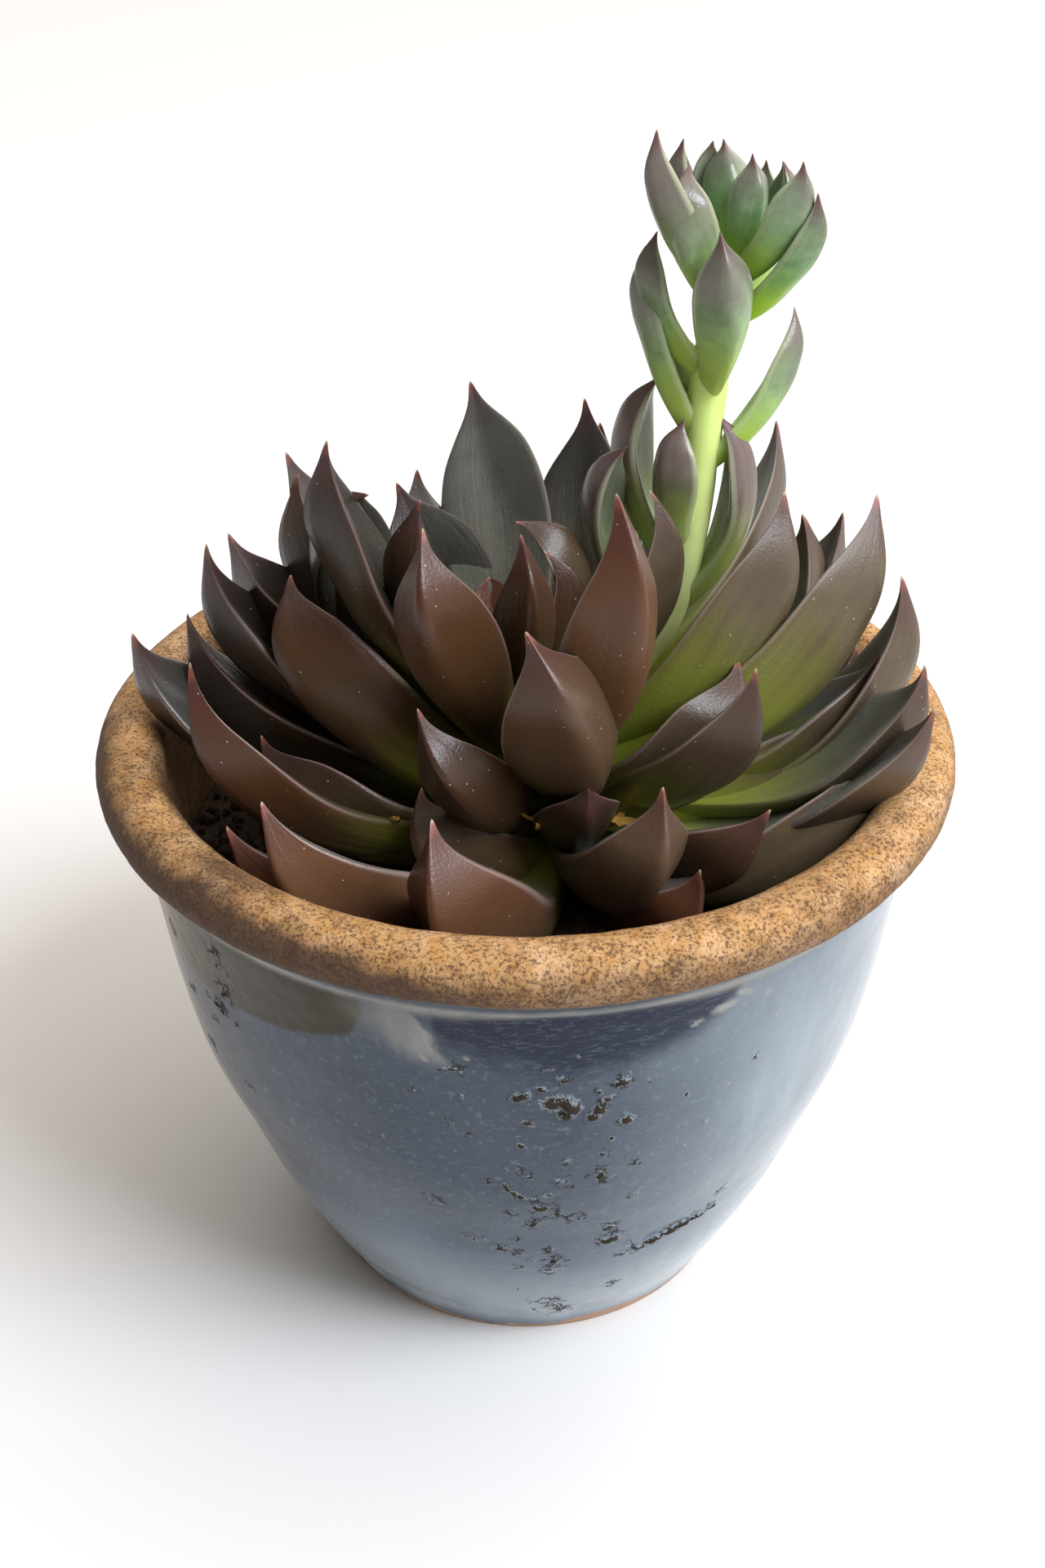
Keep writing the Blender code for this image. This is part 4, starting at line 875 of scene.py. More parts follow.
def planter_profile(rim_radius, pot_height):
    """The pot's section from the inside's middle over the rim to the underside: radius, height, part."""
    rows = [(0.0, BOWL_FLOOR, "inside"), (20.0, BOWL_FLOOR, "inside")]
    rows.extend((float(smooth_curve(BOWL_INSIDE, height)), height, "inside") for height in INSIDE_ROWS)
    middle_radius = rim_radius - RIM_THICKNESS / 2
    middle_height = pot_height - RIM_HEIGHT / 2
    for angle in np.linspace(radians(190), radians(-62), RIM_ROWS):
        radius = middle_radius + RIM_THICKNESS / 2 * cos(angle)
        rows.append((radius, middle_height + RIM_HEIGHT / 2 * sin(angle), "rim"))
    for height in np.arange(WALL_TOP, WALL_BOTTOM, -WALL_STEP):
        rows.append((float(smooth_curve(BOWL_OUTSIDE, height)), float(height), "wall"))
    rows.extend((radius, height, "foot") for radius, height in FOOT_RING)
    rows.append((0.0, FOOT_RING[-1][1], "foot"))
    return rows


def column_angles():
    """The azimuths of the wall's columns, closer together on the side with the pits."""
    low, high = (radians(angle) for angle in FINE_SIDE)
    fine = np.linspace(low, high, FINE_COLUMNS, endpoint=False)
    plain = np.linspace(high, low + 2 * pi, PLAIN_COLUMNS, endpoint=False)
    return np.concatenate((fine, plain))


def far_side_pits():
    """A seeded scatter of small pits for the sides that have none listed: 46 single ones and three chains."""
    dice = Random(11)
    pits = []
    for _ in range(46):
        azimuth = dice.uniform(2, 190)
        height = dice.uniform(20, 102)
        size = dice.uniform(0.7, 1.6)
        length, tilt = size * dice.uniform(1.0, 1.8), dice.uniform(-40, 40)
        pits.append((azimuth, height, length, size * 0.6, tilt, 0.3 + 0.4 * size))
    for start, height, turn in ((40, 70, 1.5), (120, 46, -1.2), (172, 82, 1.1)):
        for step in range(9):
            azimuth = start + step * 1.5 + dice.uniform(-0.3, 0.3)
            pits.append((azimuth, height + step * turn + dice.uniform(-0.5, 0.5), 1.5, 0.7, 30 * turn, 0.8))
    return pits


def pit_field(azimuth, height, radius, warp_a, warp_b):
    """Each point's dent in mm, and two soft fields from 0 to 1: in a pit, and in the worn glaze round it."""
    dent, field, worn = (np.zeros(azimuth.shape) for _ in range(3))
    for place, level, length, width, tilt, depth in (*PITS, *far_side_pits()):
        apart = (azimuth - radians(place) + pi) % (2 * pi) - pi
        across = apart * radius + warp_a
        upward = (height - level) * 1.06 + warp_b
        turn = radians(tilt)
        first = (across * cos(turn) + upward * sin(turn)) / length
        second = (upward * cos(turn) - across * sin(turn)) / width
        near = np.exp(-1.1 * (first ** 2 + second ** 2))
        field = np.maximum(field, near * min(1.0, 0.55 + 0.45 * depth))
        dent = np.maximum(dent, depth * soft_step(0.25, 0.85, near) - 0.09 * soft_step(0.03, 0.25, near))
        worn = np.maximum(worn, np.exp(-(across ** 2 + upward ** 2) / (1.5 * length + 1.0) ** 2))
    return dent, field, worn


def scuff_field(azimuth, height, radius, ragged):
    """1 on the listed pale scuffs, 0 off them."""
    field = np.zeros(azimuth.shape)
    for place, level, length, width, tilt in SCUFFS:
        apart = (azimuth - radians(place) + pi) % (2 * pi) - pi
        across, upward, turn = apart * radius + 0.5 * ragged, height - level + 0.4 * ragged, radians(tilt)
        first = (across * cos(turn) + upward * sin(turn)) / length
        second = (upward * cos(turn) - across * sin(turn)) / width
        field = np.maximum(field, np.exp(-1.2 * (first ** 2 + second ** 2)))
    return soft_step(0.2, 0.7, field)


def band(table, azimuth, height, ragged, softness=0.6):
    """1 inside a band that hangs from the rim, 0 outside it."""
    degrees = np.degrees(azimuth)
    degrees = np.where(degrees > 180, degrees - 360, degrees) + ragged * 0.8
    first, last = table[0][0], table[-1][0]
    within = soft_step(first - 0.8, first + 0.8, degrees) * (1 - soft_step(last - 0.8, last + 0.8, degrees))
    hanging = soft_step(-softness, softness, height - smooth_curve(table, degrees) + ragged)
    return within * hanging * (1 - soft_step(109.6, 110.6, height))


def from_front(azimuth):
    """Azimuths in radians between -pi and pi: the front is at -pi / 2, the left below it."""
    return np.where(azimuth > pi, azimuth - 2 * pi, azimuth)


def glaze_tones_and_light(azimuth, r, z, slow, lumpy, fine):
    """Four columns: painted dark reflections in blue and in olive, glaze paler toward the foot and painted
    paler on the right as painted light, and scraped glaze; and painted shade on the left.
    """
    ragged = 0.9 * lumpy + 0.6 * fine
    # Painted dark reflections under the rim, in bands of dark blue and olive.
    blue = np.maximum(band(DARK_BLUE_REFLECTION, azimuth, z, 2.2 * ragged - 0.8, BLUE_SOFTNESS),
                      band(FAR_BLUE_REFLECTION, azimuth, z, ragged, BLUE_SOFTNESS))
    olive = np.maximum(band(OLIVE_REFLECTION, azimuth, z, ragged * 0.4), band(FAR_OLIVE_REFLECTION, azimuth, z, ragged))
    turned = from_front(azimuth)
    degrees = np.degrees(turned)
    # The scraped patch fades out at its left, and is chipped off along a slanting line at its right.
    slant = 1.1 * ragged + 0.35 * (z - 103)
    scraped = band(SCRAPED_BAND, azimuth, z, ragged * 1.2, 3.2) * soft_step(-119, -107, degrees + 1.5 * slow)
    scraped *= 1 - soft_step(-103.4, -102.4, degrees + slant)
    chipped = np.exp(-((degrees + 103.6 + slant) / 0.9) ** 2) * soft_step(97, 100, z)
    scraped = np.maximum(scraped * 0.75, chipped * soft_step(108, 105, z))
    scraped = np.maximum(scraped, scuff_field(azimuth, z, np.maximum(r, 1.0), ragged) * 0.9)
    # A pale hairline runs round the pot where the glaze ends under the rim.
    hairline = np.exp(-((z - 110.4 + 0.5 * slow + 0.3 * lumpy) / (1.0 + 0.5 * slow)) ** 2) * 0.95
    scraped = np.maximum(scraped, hairline)
    # The glaze is paler where it ran thinly toward the foot; it is also painted paler on the right, as painted
    # light, and darker on the left, as painted shade.
    lit_side = soft_step(-1.5, -0.7, turned) * (1 - soft_step(0.8, 1.9, turned))
    milky_and_lit = np.maximum(soft_step(44, 4, z + 6 * slow) * (0.5 + 0.3 * lit_side),
                       lit_side * (0.3 + 0.12 * slow))
    shaded_side = (1 - lit_side) * soft_step(28, 60, z + 8 * slow)
    return np.column_stack((blue, olive, milky_and_lit, scraped)), shaded_side


def rim_stain_and_shade(azimuth, r, z, slow, lumpy, fine):
    """Where the rim is darker: low outside, stained by watering, with painted shade that darkens it more and
    higher at the front and left; on the inner slope all round; and under a painted leaf shadow on the top at
    the left front.
    """
    turned = from_front(azimuth)
    # Painted shade: the low outer edge is darker, and dark higher up, at the front and left.
    front_left = 1 - soft_step(-2.0, -1.5, turned) * (1 - soft_step(2.0, 2.6, turned))
    higher = 1.6 * soft_step(-1.75, -2.3, turned)
    level = z - higher + 1.2 * slow + 1.2 * lumpy + 0.6 * fine
    outer_edge = soft_step(124.0, 119.4, level) * (r > 76.2) * (0.4 + 0.6 * front_left)
    # The inner slope is darker all round.
    inner_edge = soft_step(74.0, 70.5, r + 0.8 * slow) * (0.5 + 0.3 * slow)
    # A painted shadow of a leaf tip on the rim's top at the left front.
    patch = np.exp(-(((turned + 2.33) / 0.13) ** 2 + ((r - 75.0) / 4.0) ** 2)) * 0.7
    return np.maximum(np.maximum(outer_edge, inner_edge), patch * (z > 112))


def make_planter(settings):
    """The planter: one thrown and fired pot with a rolled rim of bare clay."""
    rows = planter_profile(settings.rim_radius / MM, settings.height / MM)
    angles = column_angles()
    radius = np.array([row[0] for row in rows])[1:-1]
    height = np.array([row[1] for row in rows])[1:-1]
    part = [row[2] for row in rows][1:-1]
    count, across = len(radius), len(angles)
    azimuth = np.tile(angles, count)
    r, z = np.repeat(radius, across), np.repeat(height, across)
    flat = np.column_stack((r * np.cos(azimuth), r * np.sin(azimuth), z)) * MM
    on_wall, on_rim = (np.repeat([name == wanted for name in part], across) for wanted in ("wall", "rim"))
    slow, lumpy, fine = (smooth_noise(flat, *lump) for lump in GLAZE_LUMPS)
    dent, field, worn = pit_field(azimuth, z, np.maximum(r, 1.0), 0.45 * fine + 0.5 * lumpy,
                                  0.45 * lumpy - 0.4 * fine)
    # The glaze ends in a low roll under the rim, and in a lumpy hem above the foot.
    roll = soft_step(111.2, 110.0, z) * (0.18 + 0.12 * soft_step(107.5, 110.2, z))
    hem = np.exp(-((z - 7.5) / 2.6) ** 2) * (0.35 + 0.5 * lumpy)
    glaze_push = 0.10 * slow + 0.05 * lumpy - dent * settings.pit_depth + roll + hem
    rim_push = 0.16 * slow + 0.14 * lumpy + 0.07 * fine - 0.15
    push = np.where(on_wall, glaze_push, np.where(on_rim, rim_push, 0.0))
    # The section runs from the inside over the rim, so the left hand of its direction points into the clay.
    slope_r, slope_z = np.gradient(radius), np.gradient(height)
    size = np.hypot(slope_r, slope_z)
    into_r, into_z = np.repeat(-slope_z / size, across), np.repeat(slope_r / size, across)
    into_clay = np.column_stack((into_r * np.cos(azimuth), into_r * np.sin(azimuth), into_z))
    points = flat - into_clay * push[:, None] * MM
    poles = np.array(((0.0, 0.0, rows[0][1]), (0.0, 0.0, rows[-1][1]))) * MM
    # The glaze's marks carry painted light and shade: dark reflections under the rim, a paler right side and a
    # darker left; the rim's mark carries staining from watering with painted shade and a painted leaf shadow.
    tones, shaded_side = glaze_tones_and_light(azimuth, r, z, slow, lumpy, fine)
    marks = {
        "pitting": field * on_wall,
        "glaze_tones_and_light": tones * on_wall[:, None],
        "shaded_side": shaded_side * on_wall,
        "worn": worn * on_wall,
        "stain_and_shade": rim_stain_and_shade(azimuth, r, z, slow, lumpy, fine),
    }
    # The two poles have no marks.
    marks = {key: np.concatenate((values, np.zeros((2, *values.shape[1:])))) for key, values in marks.items()}
    bare_or_glazed = [0 if name in ("rim", "inside") else 1 for name in part]
    face_looks = np.append(np.repeat(bare_or_glazed[:-1], across), [0, 1] * across)
    looks = (stoneware_clay(settings), stoneware_glaze(settings))
    planter = add_piece("planter", np.vstack((points, poles)), ring_faces(count, across), looks, marks,
                        face_looks)
    stand_for(planter, "pot", "pot")


# ------------------------------------------------------------------------------------------------ compost


def soil_height(radius):
    """The height of the compost's top at a radius, both in mm: a shallow dome."""
    return SOIL_MIDDLE_HEIGHT + (SOIL_EDGE_HEIGHT - SOIL_MIDDLE_HEIGHT) * (radius / SOIL_RADIUS) ** 2


def soil_rows():
    """The compost's section from its middle over the edge and down the bowl's wall: radius and height in mm."""
    rows = [(radius, soil_height(radius)) for radius in np.linspace(1.0, 66.5, SOIL_TOP_RINGS)]
    rows += [(67.6, SOIL_EDGE_HEIGHT - 0.5)]
    rows += [(float(smooth_curve(BOWL_INSIDE, height)) - 0.6, height)
             for height in (90.0, 70.0, 45.0, 25.0, 14.5)]
    rows += [(34.0, BOWL_FLOOR + WALL_GAP)]
    return rows


def make_compost():
    """The compost's body, which fills the bowl up to 26 mm below the rim's top."""
    rows = soil_rows()
    angles = np.linspace(0, 2 * pi, SOIL_COLUMNS, endpoint=False)
    points = np.array([(r * cos(a), r * sin(a), z) for r, z in rows for a in angles]) * MM
    # The top has lumps of 9 mm and of 3 mm.
    top = np.repeat([index < SOIL_TOP_RINGS - 1 for index in range(len(rows))], SOIL_COLUMNS)
    rise = 0.0009 * smooth_noise(points, 0.009, 1.0) + 0.0005 * smooth_noise(points, 0.0032, 4.0)
    points[:, 2] += np.where(top, rise - 0.0004, 0.0)
    poles = np.array(((0, 0, SOIL_MIDDLE_HEIGHT), (0, 0, BOWL_FLOOR + WALL_GAP))) * MM
    compost = add_piece("compost", np.vstack((points, poles)), ring_faces(len(rows), SOIL_COLUMNS),
                        [damp_compost("damp potting compost")])
    stand_for(compost, "soil", "soil")


def crumb_tree(look):
    """Geometry nodes that strew small angular crumbs over a surface, most of them near the smallest size."""
    tree, inlets = shape_tree("strewn crumbs",
                              ("Surface", "Crumbs per square metre", "Smallest", "Largest"), "Crumbs")
    places = node(tree, "GeometryNodeDistributePointsOnFaces",
                  {"Mesh": inlets["Surface"], "Density": inlets["Crumbs per square metre"], "Seed": 4})
    crumb = node(tree, "GeometryNodeMeshIcoSphere", {"Radius": 1.0, "Subdivisions": 1}, out="Mesh")
    spin = node(tree, "FunctionNodeRandomValue", {"Max": (6.28, 6.28, 6.28), "Seed": 2},
                data_type="FLOAT_VECTOR")
    chance = node(tree, "FunctionNodeRandomValue", {"Seed": 9}, out=1, data_type="FLOAT")
    small = node(tree, "ShaderNodeMath", {0: chance, 1: 3.0}, operation="POWER")
    size = node(tree, "ShaderNodeMapRange",
                {"Value": small, "To Min": inlets["Smallest"], "To Max": inlets["Largest"]})
    strewn = node(tree, "GeometryNodeInstanceOnPoints",
                  {"Points": places, "Instance": crumb, "Rotation": spin, "Scale": size})
    whole = node(tree, "GeometryNodeRealizeInstances", {"Geometry": strewn})
    # Each corner is moved by up to 0.3 mm, so no crumb is round.
    shift = node(tree, "FunctionNodeRandomValue",
                 {"Min": (-0.0003, -0.0003, -0.0003), "Max": (0.0003, 0.0003, 0.0003), "Seed": 5},
                 data_type="FLOAT_VECTOR")
    rough = node(tree, "GeometryNodeSetPosition", {"Geometry": whole, "Offset": shift})
    finished = node(tree, "GeometryNodeSetMaterial", {"Geometry": rough, "Material": look})
    node(tree, "NodeGroupOutput", {"Crumbs": finished})
    return tree


def make_crumbs(settings):
    """Loose crumbs of bark and peat on the compost."""
    rows = [(radius, soil_height(radius) - 0.2) for radius in (12.0, 20.0, 30.0, 40.0, 50.0, 58.0, 65.8)]
    points = [(r * MM * cos(2 * pi * c / CRUMB_COLUMNS), r * MM * sin(2 * pi * c / CRUMB_COLUMNS), z * MM)
              for r, z in rows for c in range(CRUMB_COLUMNS)]
    look = damp_compost("loose bark and peat")
    crumbs = add_piece("crumbs", points, ring_faces(len(rows), CRUMB_COLUMNS, capped=False), [look])
    crumbs.data = run_tree(crumbs, crumb_tree(look),
                           {"Crumbs per square metre": settings.crumbs_per_area,
                            "Smallest": settings.smallest_crumb, "Largest": settings.largest_crumb})
    stand_for(crumbs, "soil")


# ----------------------------------------------------------------------------------------- leaves and stalk


def leaf_frame(leaf):
    """The directions that a leaf is drawn in: outward along its root, across its width, and inward."""
    azimuth, roll = radians(leaf.azimuth), radians(leaf.roll)
    start = radians(leaf.rise) - radians(leaf.curl) / 2
    heading = np.array((cos(azimuth), sin(azimuth), 0.0))
    side = np.array((sin(azimuth), -cos(azimuth), 0.0))
    upward = np.array((0.0, 0.0, 1.0))
    outward = heading * cos(start) + upward * sin(start)
    upright = upward * cos(start) - heading * sin(start)
    wide = side * cos(roll) + upright * sin(roll)
    inward = upright * cos(roll) - side * sin(roll)
    return outward, wide, inward


def leaf_skin(leaf, root, stations, sides, dice, keel, hook):
    """The rings of a leaf's skin from root to tip, with the marks that its material reads."""
    outward, wide, inward = leaf_frame(leaf)
    curl = radians(leaf.curl)
    turn = (curl * stations)[:, None]
    midrib = np.array(root) + (outward * np.sin(turn) + inward * (1 - np.cos(turn))) * leaf.length * MM / curl
    deep = inward * np.cos(turn) - outward * np.sin(turn)
    # The tip hooks inward over the last sixth.
    midrib = midrib + deep * (hook * MM * np.clip((stations - 0.83) / 0.17, 0, 1) ** 2)[:, None]
    # A leaf 2.9 times as long as it is wide has the broad outline, one 3.9 times as long the slender one.
    slender = min(max(leaf.length / leaf.width - 2.9, 0.0), 1.0)
    broad_part = (1 - slender) * smooth_curve(BROAD_OUTLINE, stations)
    half = leaf.width * MM / 2 * (broad_part + slender * smooth_curve(SLENDER_OUTLINE, stations))
    body = leaf.plump * (THINNEST + THICKNESS_SHARE * leaf.width * MM) * smooth_curve(LEAF_BODY, stations)
    angles = np.arange(sides) * 2 * pi / sides
    breadth, rim = np.cos(angles), np.sin(angles)
    # The outer face is keeled, more sharply toward the tip.
    soft = (0.22 - 0.18 * soft_step(0.35, 0.75, stations))[:, None]
    roof = 1 - (np.sqrt(breadth ** 2 + soft ** 2) - soft) / (np.sqrt(1 + soft ** 2) - soft)
    ridge = keel * (0.12 + 0.88 * soft_step(0.4, 0.85, stations))[:, None]
    inner = np.abs(rim)[None, :]
    outer = (1 - ridge) * inner + ridge * roof ** 1.1
    hump = np.where(rim[None, :] > 0, INNER_SHARE * inner, -(1 - INNER_SHARE) * outer)
    # Its edges wave, its faces have shallow dimples, and it is folded along the middle.
    wave = 0.085 * np.sin(2 * pi * (1.2 * stations + dice.random()))[:, None] * breadth * np.abs(breadth)
    wave = wave + 0.04 * np.sin(2 * pi * (1.7 * stations + dice.random()))[:, None] * (breadth ** 2 - 0.3)
    dimple = 0.07 * np.sin(3.1 * breadth + 7.0 * stations[:, None] + 6.28 * dice.random()) * (1 - breadth ** 4)
    fade = np.sin(pi * np.clip(stations, 0, 1))[:, None] ** 0.7
    fold = 0.4 * breadth ** 2 + 0.6 * (np.sqrt(breadth ** 2 + 0.01) - 0.1) / 0.905
    depth = half[:, None] * (TROUGH * (fold - 0.5) + (wave + dimple) * fade) + body[:, None] * hump
    lean = 0.05 * dice.uniform(-1, 1) * leaf.width * MM * np.sin(pi * np.clip(stations, 0, 1))
    offset = half[:, None] * breadth + lean[:, None]
    rings = midrib[:, None, :] + wide * offset[:, :, None] + deep[:, None, :] * depth[:, :, None]
    return rings, np.repeat(stations[:, None], sides, 1), np.tile(breadth, (len(stations), 1)), rim


def leaf_stations(count):
    """Places along a leaf, closer together toward the tip."""
    t = np.linspace(0, 1, count)
    return 1.0 - 1.05 * (1 - t) ** 1.45


def add_leaf(shells, leaf, root, count, sides, dice, keel, hook):
    """Append one closed leaf."""
    stations = leaf_stations(count)
    rings, along, breadth, rim = leaf_skin(leaf, root, stations, sides, dice, keel, hook)
    rings, along, breadth = rings[:-1], along[:-1], breadth[:-1]
    inner = np.tile(soft_step(-0.12, 0.12, rim), (len(rings), 1))
    tip = leaf_skin(leaf, root, stations[-1:], sides, Random(0), keel, hook)[0][0].mean(0)
    tint = (leaf.green, leaf.red, leaf.pale, dice.random())
    add_shell(shells, rings.reshape(-1, 3), sides, (rings[0].mean(0), tip), tint,
              along=np.append(along.ravel(), (stations[0], 1.0)),
              breadth=np.append(breadth.ravel(), (0.0, 0.0)),
              inner=np.append(inner.ravel(), (0.5, 0.5)))


def no_shells():
    """Empty lists for the points, faces and marks of a piece that is many closed shells."""
    return {"points": [], "faces": [], "along": [], "breadth": [], "inner": [], "tint": [], "count": 0}


def add_turned_shell(shells, rows, middle, sides, tint):
    """Append a closed turned body: rows of radius and height, from its foot to its top."""
    rings = [middle(level) + radius * np.array((cos(2 * pi * c / sides), sin(2 * pi * c / sides), 0.0))
             for radius, level in rows for c in range(sides)]
    add_shell(shells, rings, sides, (middle(rows[0][1]), middle(rows[-1][1])), tint)


def add_shell(shells, rings, sides, ends, tint, **marks):
    """Append a closed body to a piece's lists: its rings' points, its two ends, its tint and its marks."""
    points = np.vstack((rings, *ends))
    shells["faces"] += ring_faces(len(rings) // sides, sides, shells["count"])
    shells["points"].append(points)
    shells["tint"].append(np.tile(tint, (len(points), 1)))
    for key in ("along", "breadth", "inner"):
        shells[key].append(marks.get(key, np.zeros(len(points))))
    shells["count"] += len(points)


def piece_from(shells, name, look):
    """One mesh object from the collected shells."""
    marks = {key: np.concatenate(shells[key]) for key in ("along", "breadth", "inner", "tint")}
    return add_piece(name, np.vstack(shells["points"]), shells["faces"], [look], marks)


def leaf_root(place, azimuth):
    """Where a leaf's midrib starts, inside the skin of the leaning crown."""
    radius = CROWN_FOOT_RADIUS + (CROWN_TOP_RADIUS - CROWN_FOOT_RADIUS) * place - LEAF_ROOT_DEPTH
    middle = CROWN_FOOT.lerp(CROWN_TOP, place)
    return middle + radius * Vector((cos(radians(azimuth)), sin(radians(azimuth)), 0.0))


def crown_middle(level):
    """The middle of the short stem at a height in metres."""
    if level <= CROWN_FOOT.z:
        return np.array((CROWN_FOOT.x, CROWN_FOOT.y, level))
    share = (level - CROWN_FOOT.z) / (CROWN_TOP.z - CROWN_FOOT.z)
    return np.array(CROWN_FOOT.lerp(CROWN_TOP, share))


def make_rosette(settings):
    """The rosette: every leaf in its place round the short leaning stem."""
    dice = Random(3)
    shells = no_shells()
    rows = [(0.92 * STEM_RADIUS, STEM_BOTTOM), (STEM_RADIUS, STEM_BOTTOM + 0.8 * MM), (STEM_RADIUS, 0.100)]
    rows += [(CROWN_FOOT_RADIUS, 0.107), (0.9 * CROWN_FOOT_RADIUS, 0.114), (CROWN_TOP_RADIUS * 1.15, 0.122)]
    rows += [(CROWN_TOP_RADIUS, 0.1285), (CROWN_TOP_RADIUS * 0.7, 0.1300), (CROWN_TOP_RADIUS * 0.35, 0.1304)]
    add_turned_shell(shells, rows, crown_middle, CROWN_SIDES, CROWN_TINT)
    for tier, members in LEAVES.items():
        for index, leaf in enumerate(members):
            root = leaf_root(tier - SPIRAL_STEP * index, leaf.azimuth)
            keel, hook = dice.uniform(*LEAF_KEEL), dice.uniform(*LEAF_HOOK)
            add_leaf(shells, leaf, root, settings.leaf_stations, LEAF_SIDES, dice, keel, hook)
    rosette = piece_from(shells, "rosette_leaves", leaf_skin_material(settings))
    stand_for(rosette, "rosette", "rosette")


def husk_material():
    """Papery husks of dead leaves, dried to gold and brown. The fibres are 0.7 mm apart."""
    look, tree = new_material("dried leaf husk")
    place = node(tree, "ShaderNodeTexCoord", out="Object")
    fibres = node(tree, "ShaderNodeTexNoise", {"Vector": place, "Scale": 1500.0, "Detail": 3.0})
    colour = node(tree, "ShaderNodeMix", {0: fibres, 6: linear("#7A5220"), 7: linear("#E0B457")},
                  out=2, data_type="RGBA")
    shader = node(tree, "ShaderNodeBsdfPrincipled", {"Base Color": colour, "Roughness": 0.5})
    node(tree, "ShaderNodeOutputMaterial", {"Surface": shader})
    return look


def make_husks():
    """The dried husks that lie among the lowest leaves."""
    dice = Random(5)
    shells = no_shells()
    for root, leaf in HUSKS:
        add_leaf(shells, leaf, Vector(root) * MM, HUSK_STATIONS, HUSK_SIDES, dice, HUSK_KEEL, HUSK_HOOK)
    husks = piece_from(shells, "dried_husks", husk_material())
    stand_for(husks, "rosette", "rosette")


def stalk_centre(height):
    """The middle of the stalk at a height in millimetres."""
    heights = [p[2] for p in STALK_PATH]
    return Vector((np.interp(height, heights, [p[0] for p in STALK_PATH]),
                   np.interp(height, heights, [p[1] for p in STALK_PATH]), height)) * MM


def make_bracts(settings):
    """The bracts of the flower stalk, crowded at its top where the buds will come."""
    dice = Random(8)
    shells = no_shells()
    for height, leaf in BRACTS:
        azimuth = radians(leaf.azimuth)
        root = stalk_centre(height) + BRACT_ROOT_OFFSET * Vector((cos(azimuth), sin(azimuth), 0.0))
        add_leaf(shells, leaf, root, BRACT_STATIONS, BRACT_SIDES, dice, BRACT_KEEL, BRACT_HOOK)
    bracts = piece_from(shells, "stalk_bracts", bract_material(settings))
    stand_for(bracts, "flower_stalk", "flower_stalk")


def stem_tree(look):
    """Geometry nodes that sweep a round section along a path, from one radius to another."""
    tree, inlets = shape_tree("swept stem", ("Path", "Foot radius", "Top radius"), "Stem")
    even = node(tree, "GeometryNodeResampleCurve", {"Curve": inlets["Path"], "Count": STEM_RINGS})
    share = node(tree, "GeometryNodeSplineParameter", out="Factor")
    radius = node(tree, "ShaderNodeMapRange",
                  {"Value": share, "To Min": inlets["Foot radius"], "To Max": inlets["Top radius"]})
    # It swells by up to 0.6 mm, about every 8 mm.
    place = node(tree, "GeometryNodeInputPosition")
    ridge = node(tree, "ShaderNodeTexNoise", {"Vector": place, "Scale": 120.0})
    radius = node(tree, "ShaderNodeMath", {0: ridge, 1: 0.0006, 2: radius}, operation="MULTIPLY_ADD")
    section = node(tree, "GeometryNodeCurvePrimitiveCircle", {"Resolution": STEM_SIDES, "Radius": 1.0})
    swept = node(tree, "GeometryNodeCurveToMesh",
                 {"Curve": even, "Profile Curve": section, "Scale": radius, "Fill Caps": True})
    whole = node(tree, "GeometryNodeRealizeInstances", {"Geometry": swept})
    smooth = node(tree, "GeometryNodeSetShadeSmooth", {"Geometry": whole})
    finished = node(tree, "GeometryNodeSetMaterial", {"Geometry": smooth, "Material": look})
    node(tree, "NodeGroupOutput", {"Stem": finished})
    return tree


def make_stem(settings):
    """The bare stem of the flower stalk."""
    path = bpy.data.curves.new("stem path", "CURVE")
    path.dimensions = "3D"
    spline = path.splines.new("BEZIER")
    spline.bezier_points.add(len(STALK_PATH) - 1)
    for point, place in zip(spline.bezier_points, STALK_PATH):
        point.co = Vector(place) * MM
        point.handle_left_type = "AUTO"
        point.handle_right_type = "AUTO"
    guide = in_scene("stem path", path)
    mesh = run_tree(guide, stem_tree(stem_material(settings)),
                    {"Foot radius": STALK_FOOT_RADIUS, "Top radius": STALK_TOP_RADIUS})
    bpy.data.objects.remove(guide)
    turn_outward(mesh, merge=0.01 * MM)
    stem = in_scene("flower_stem", mesh)
    stand_for(stem, "flower_stalk", "flower_stalk")


# -------------------------------------------------------------------------------------------------- stage


def plain_material(name, colour, roughness):
    """Studio paper, pressed matt."""
    look, tree = new_material(name)
    shader = node(tree, "ShaderNodeBsdfPrincipled",
                  {"Base Color": colour, "Roughness": roughness, "Specular IOR Level": 0.1})
    node(tree, "ShaderNodeOutputMaterial", {"Surface": shader})
    return look


def add_light(name, energy, size, colour, azimuth, elevation, distance):
    """A square area light that faces the plant from an azimuth and elevation in degrees."""
    lamp = bpy.data.lights.new(name, "AREA")
    lamp.shape = "SQUARE"
    lamp.size = size
    lamp.energy = energy
    lamp.color = linear(colour)[:3]
    thing = in_scene(name, lamp)
    across, up = radians(azimuth), radians(elevation)
    toward = Vector((cos(across) * cos(up), sin(across) * cos(up), sin(up)))
    thing.location = LIGHT_TARGET + toward * distance
    thing.rotation_euler = toward.to_track_quat("Z", "Y").to_euler()


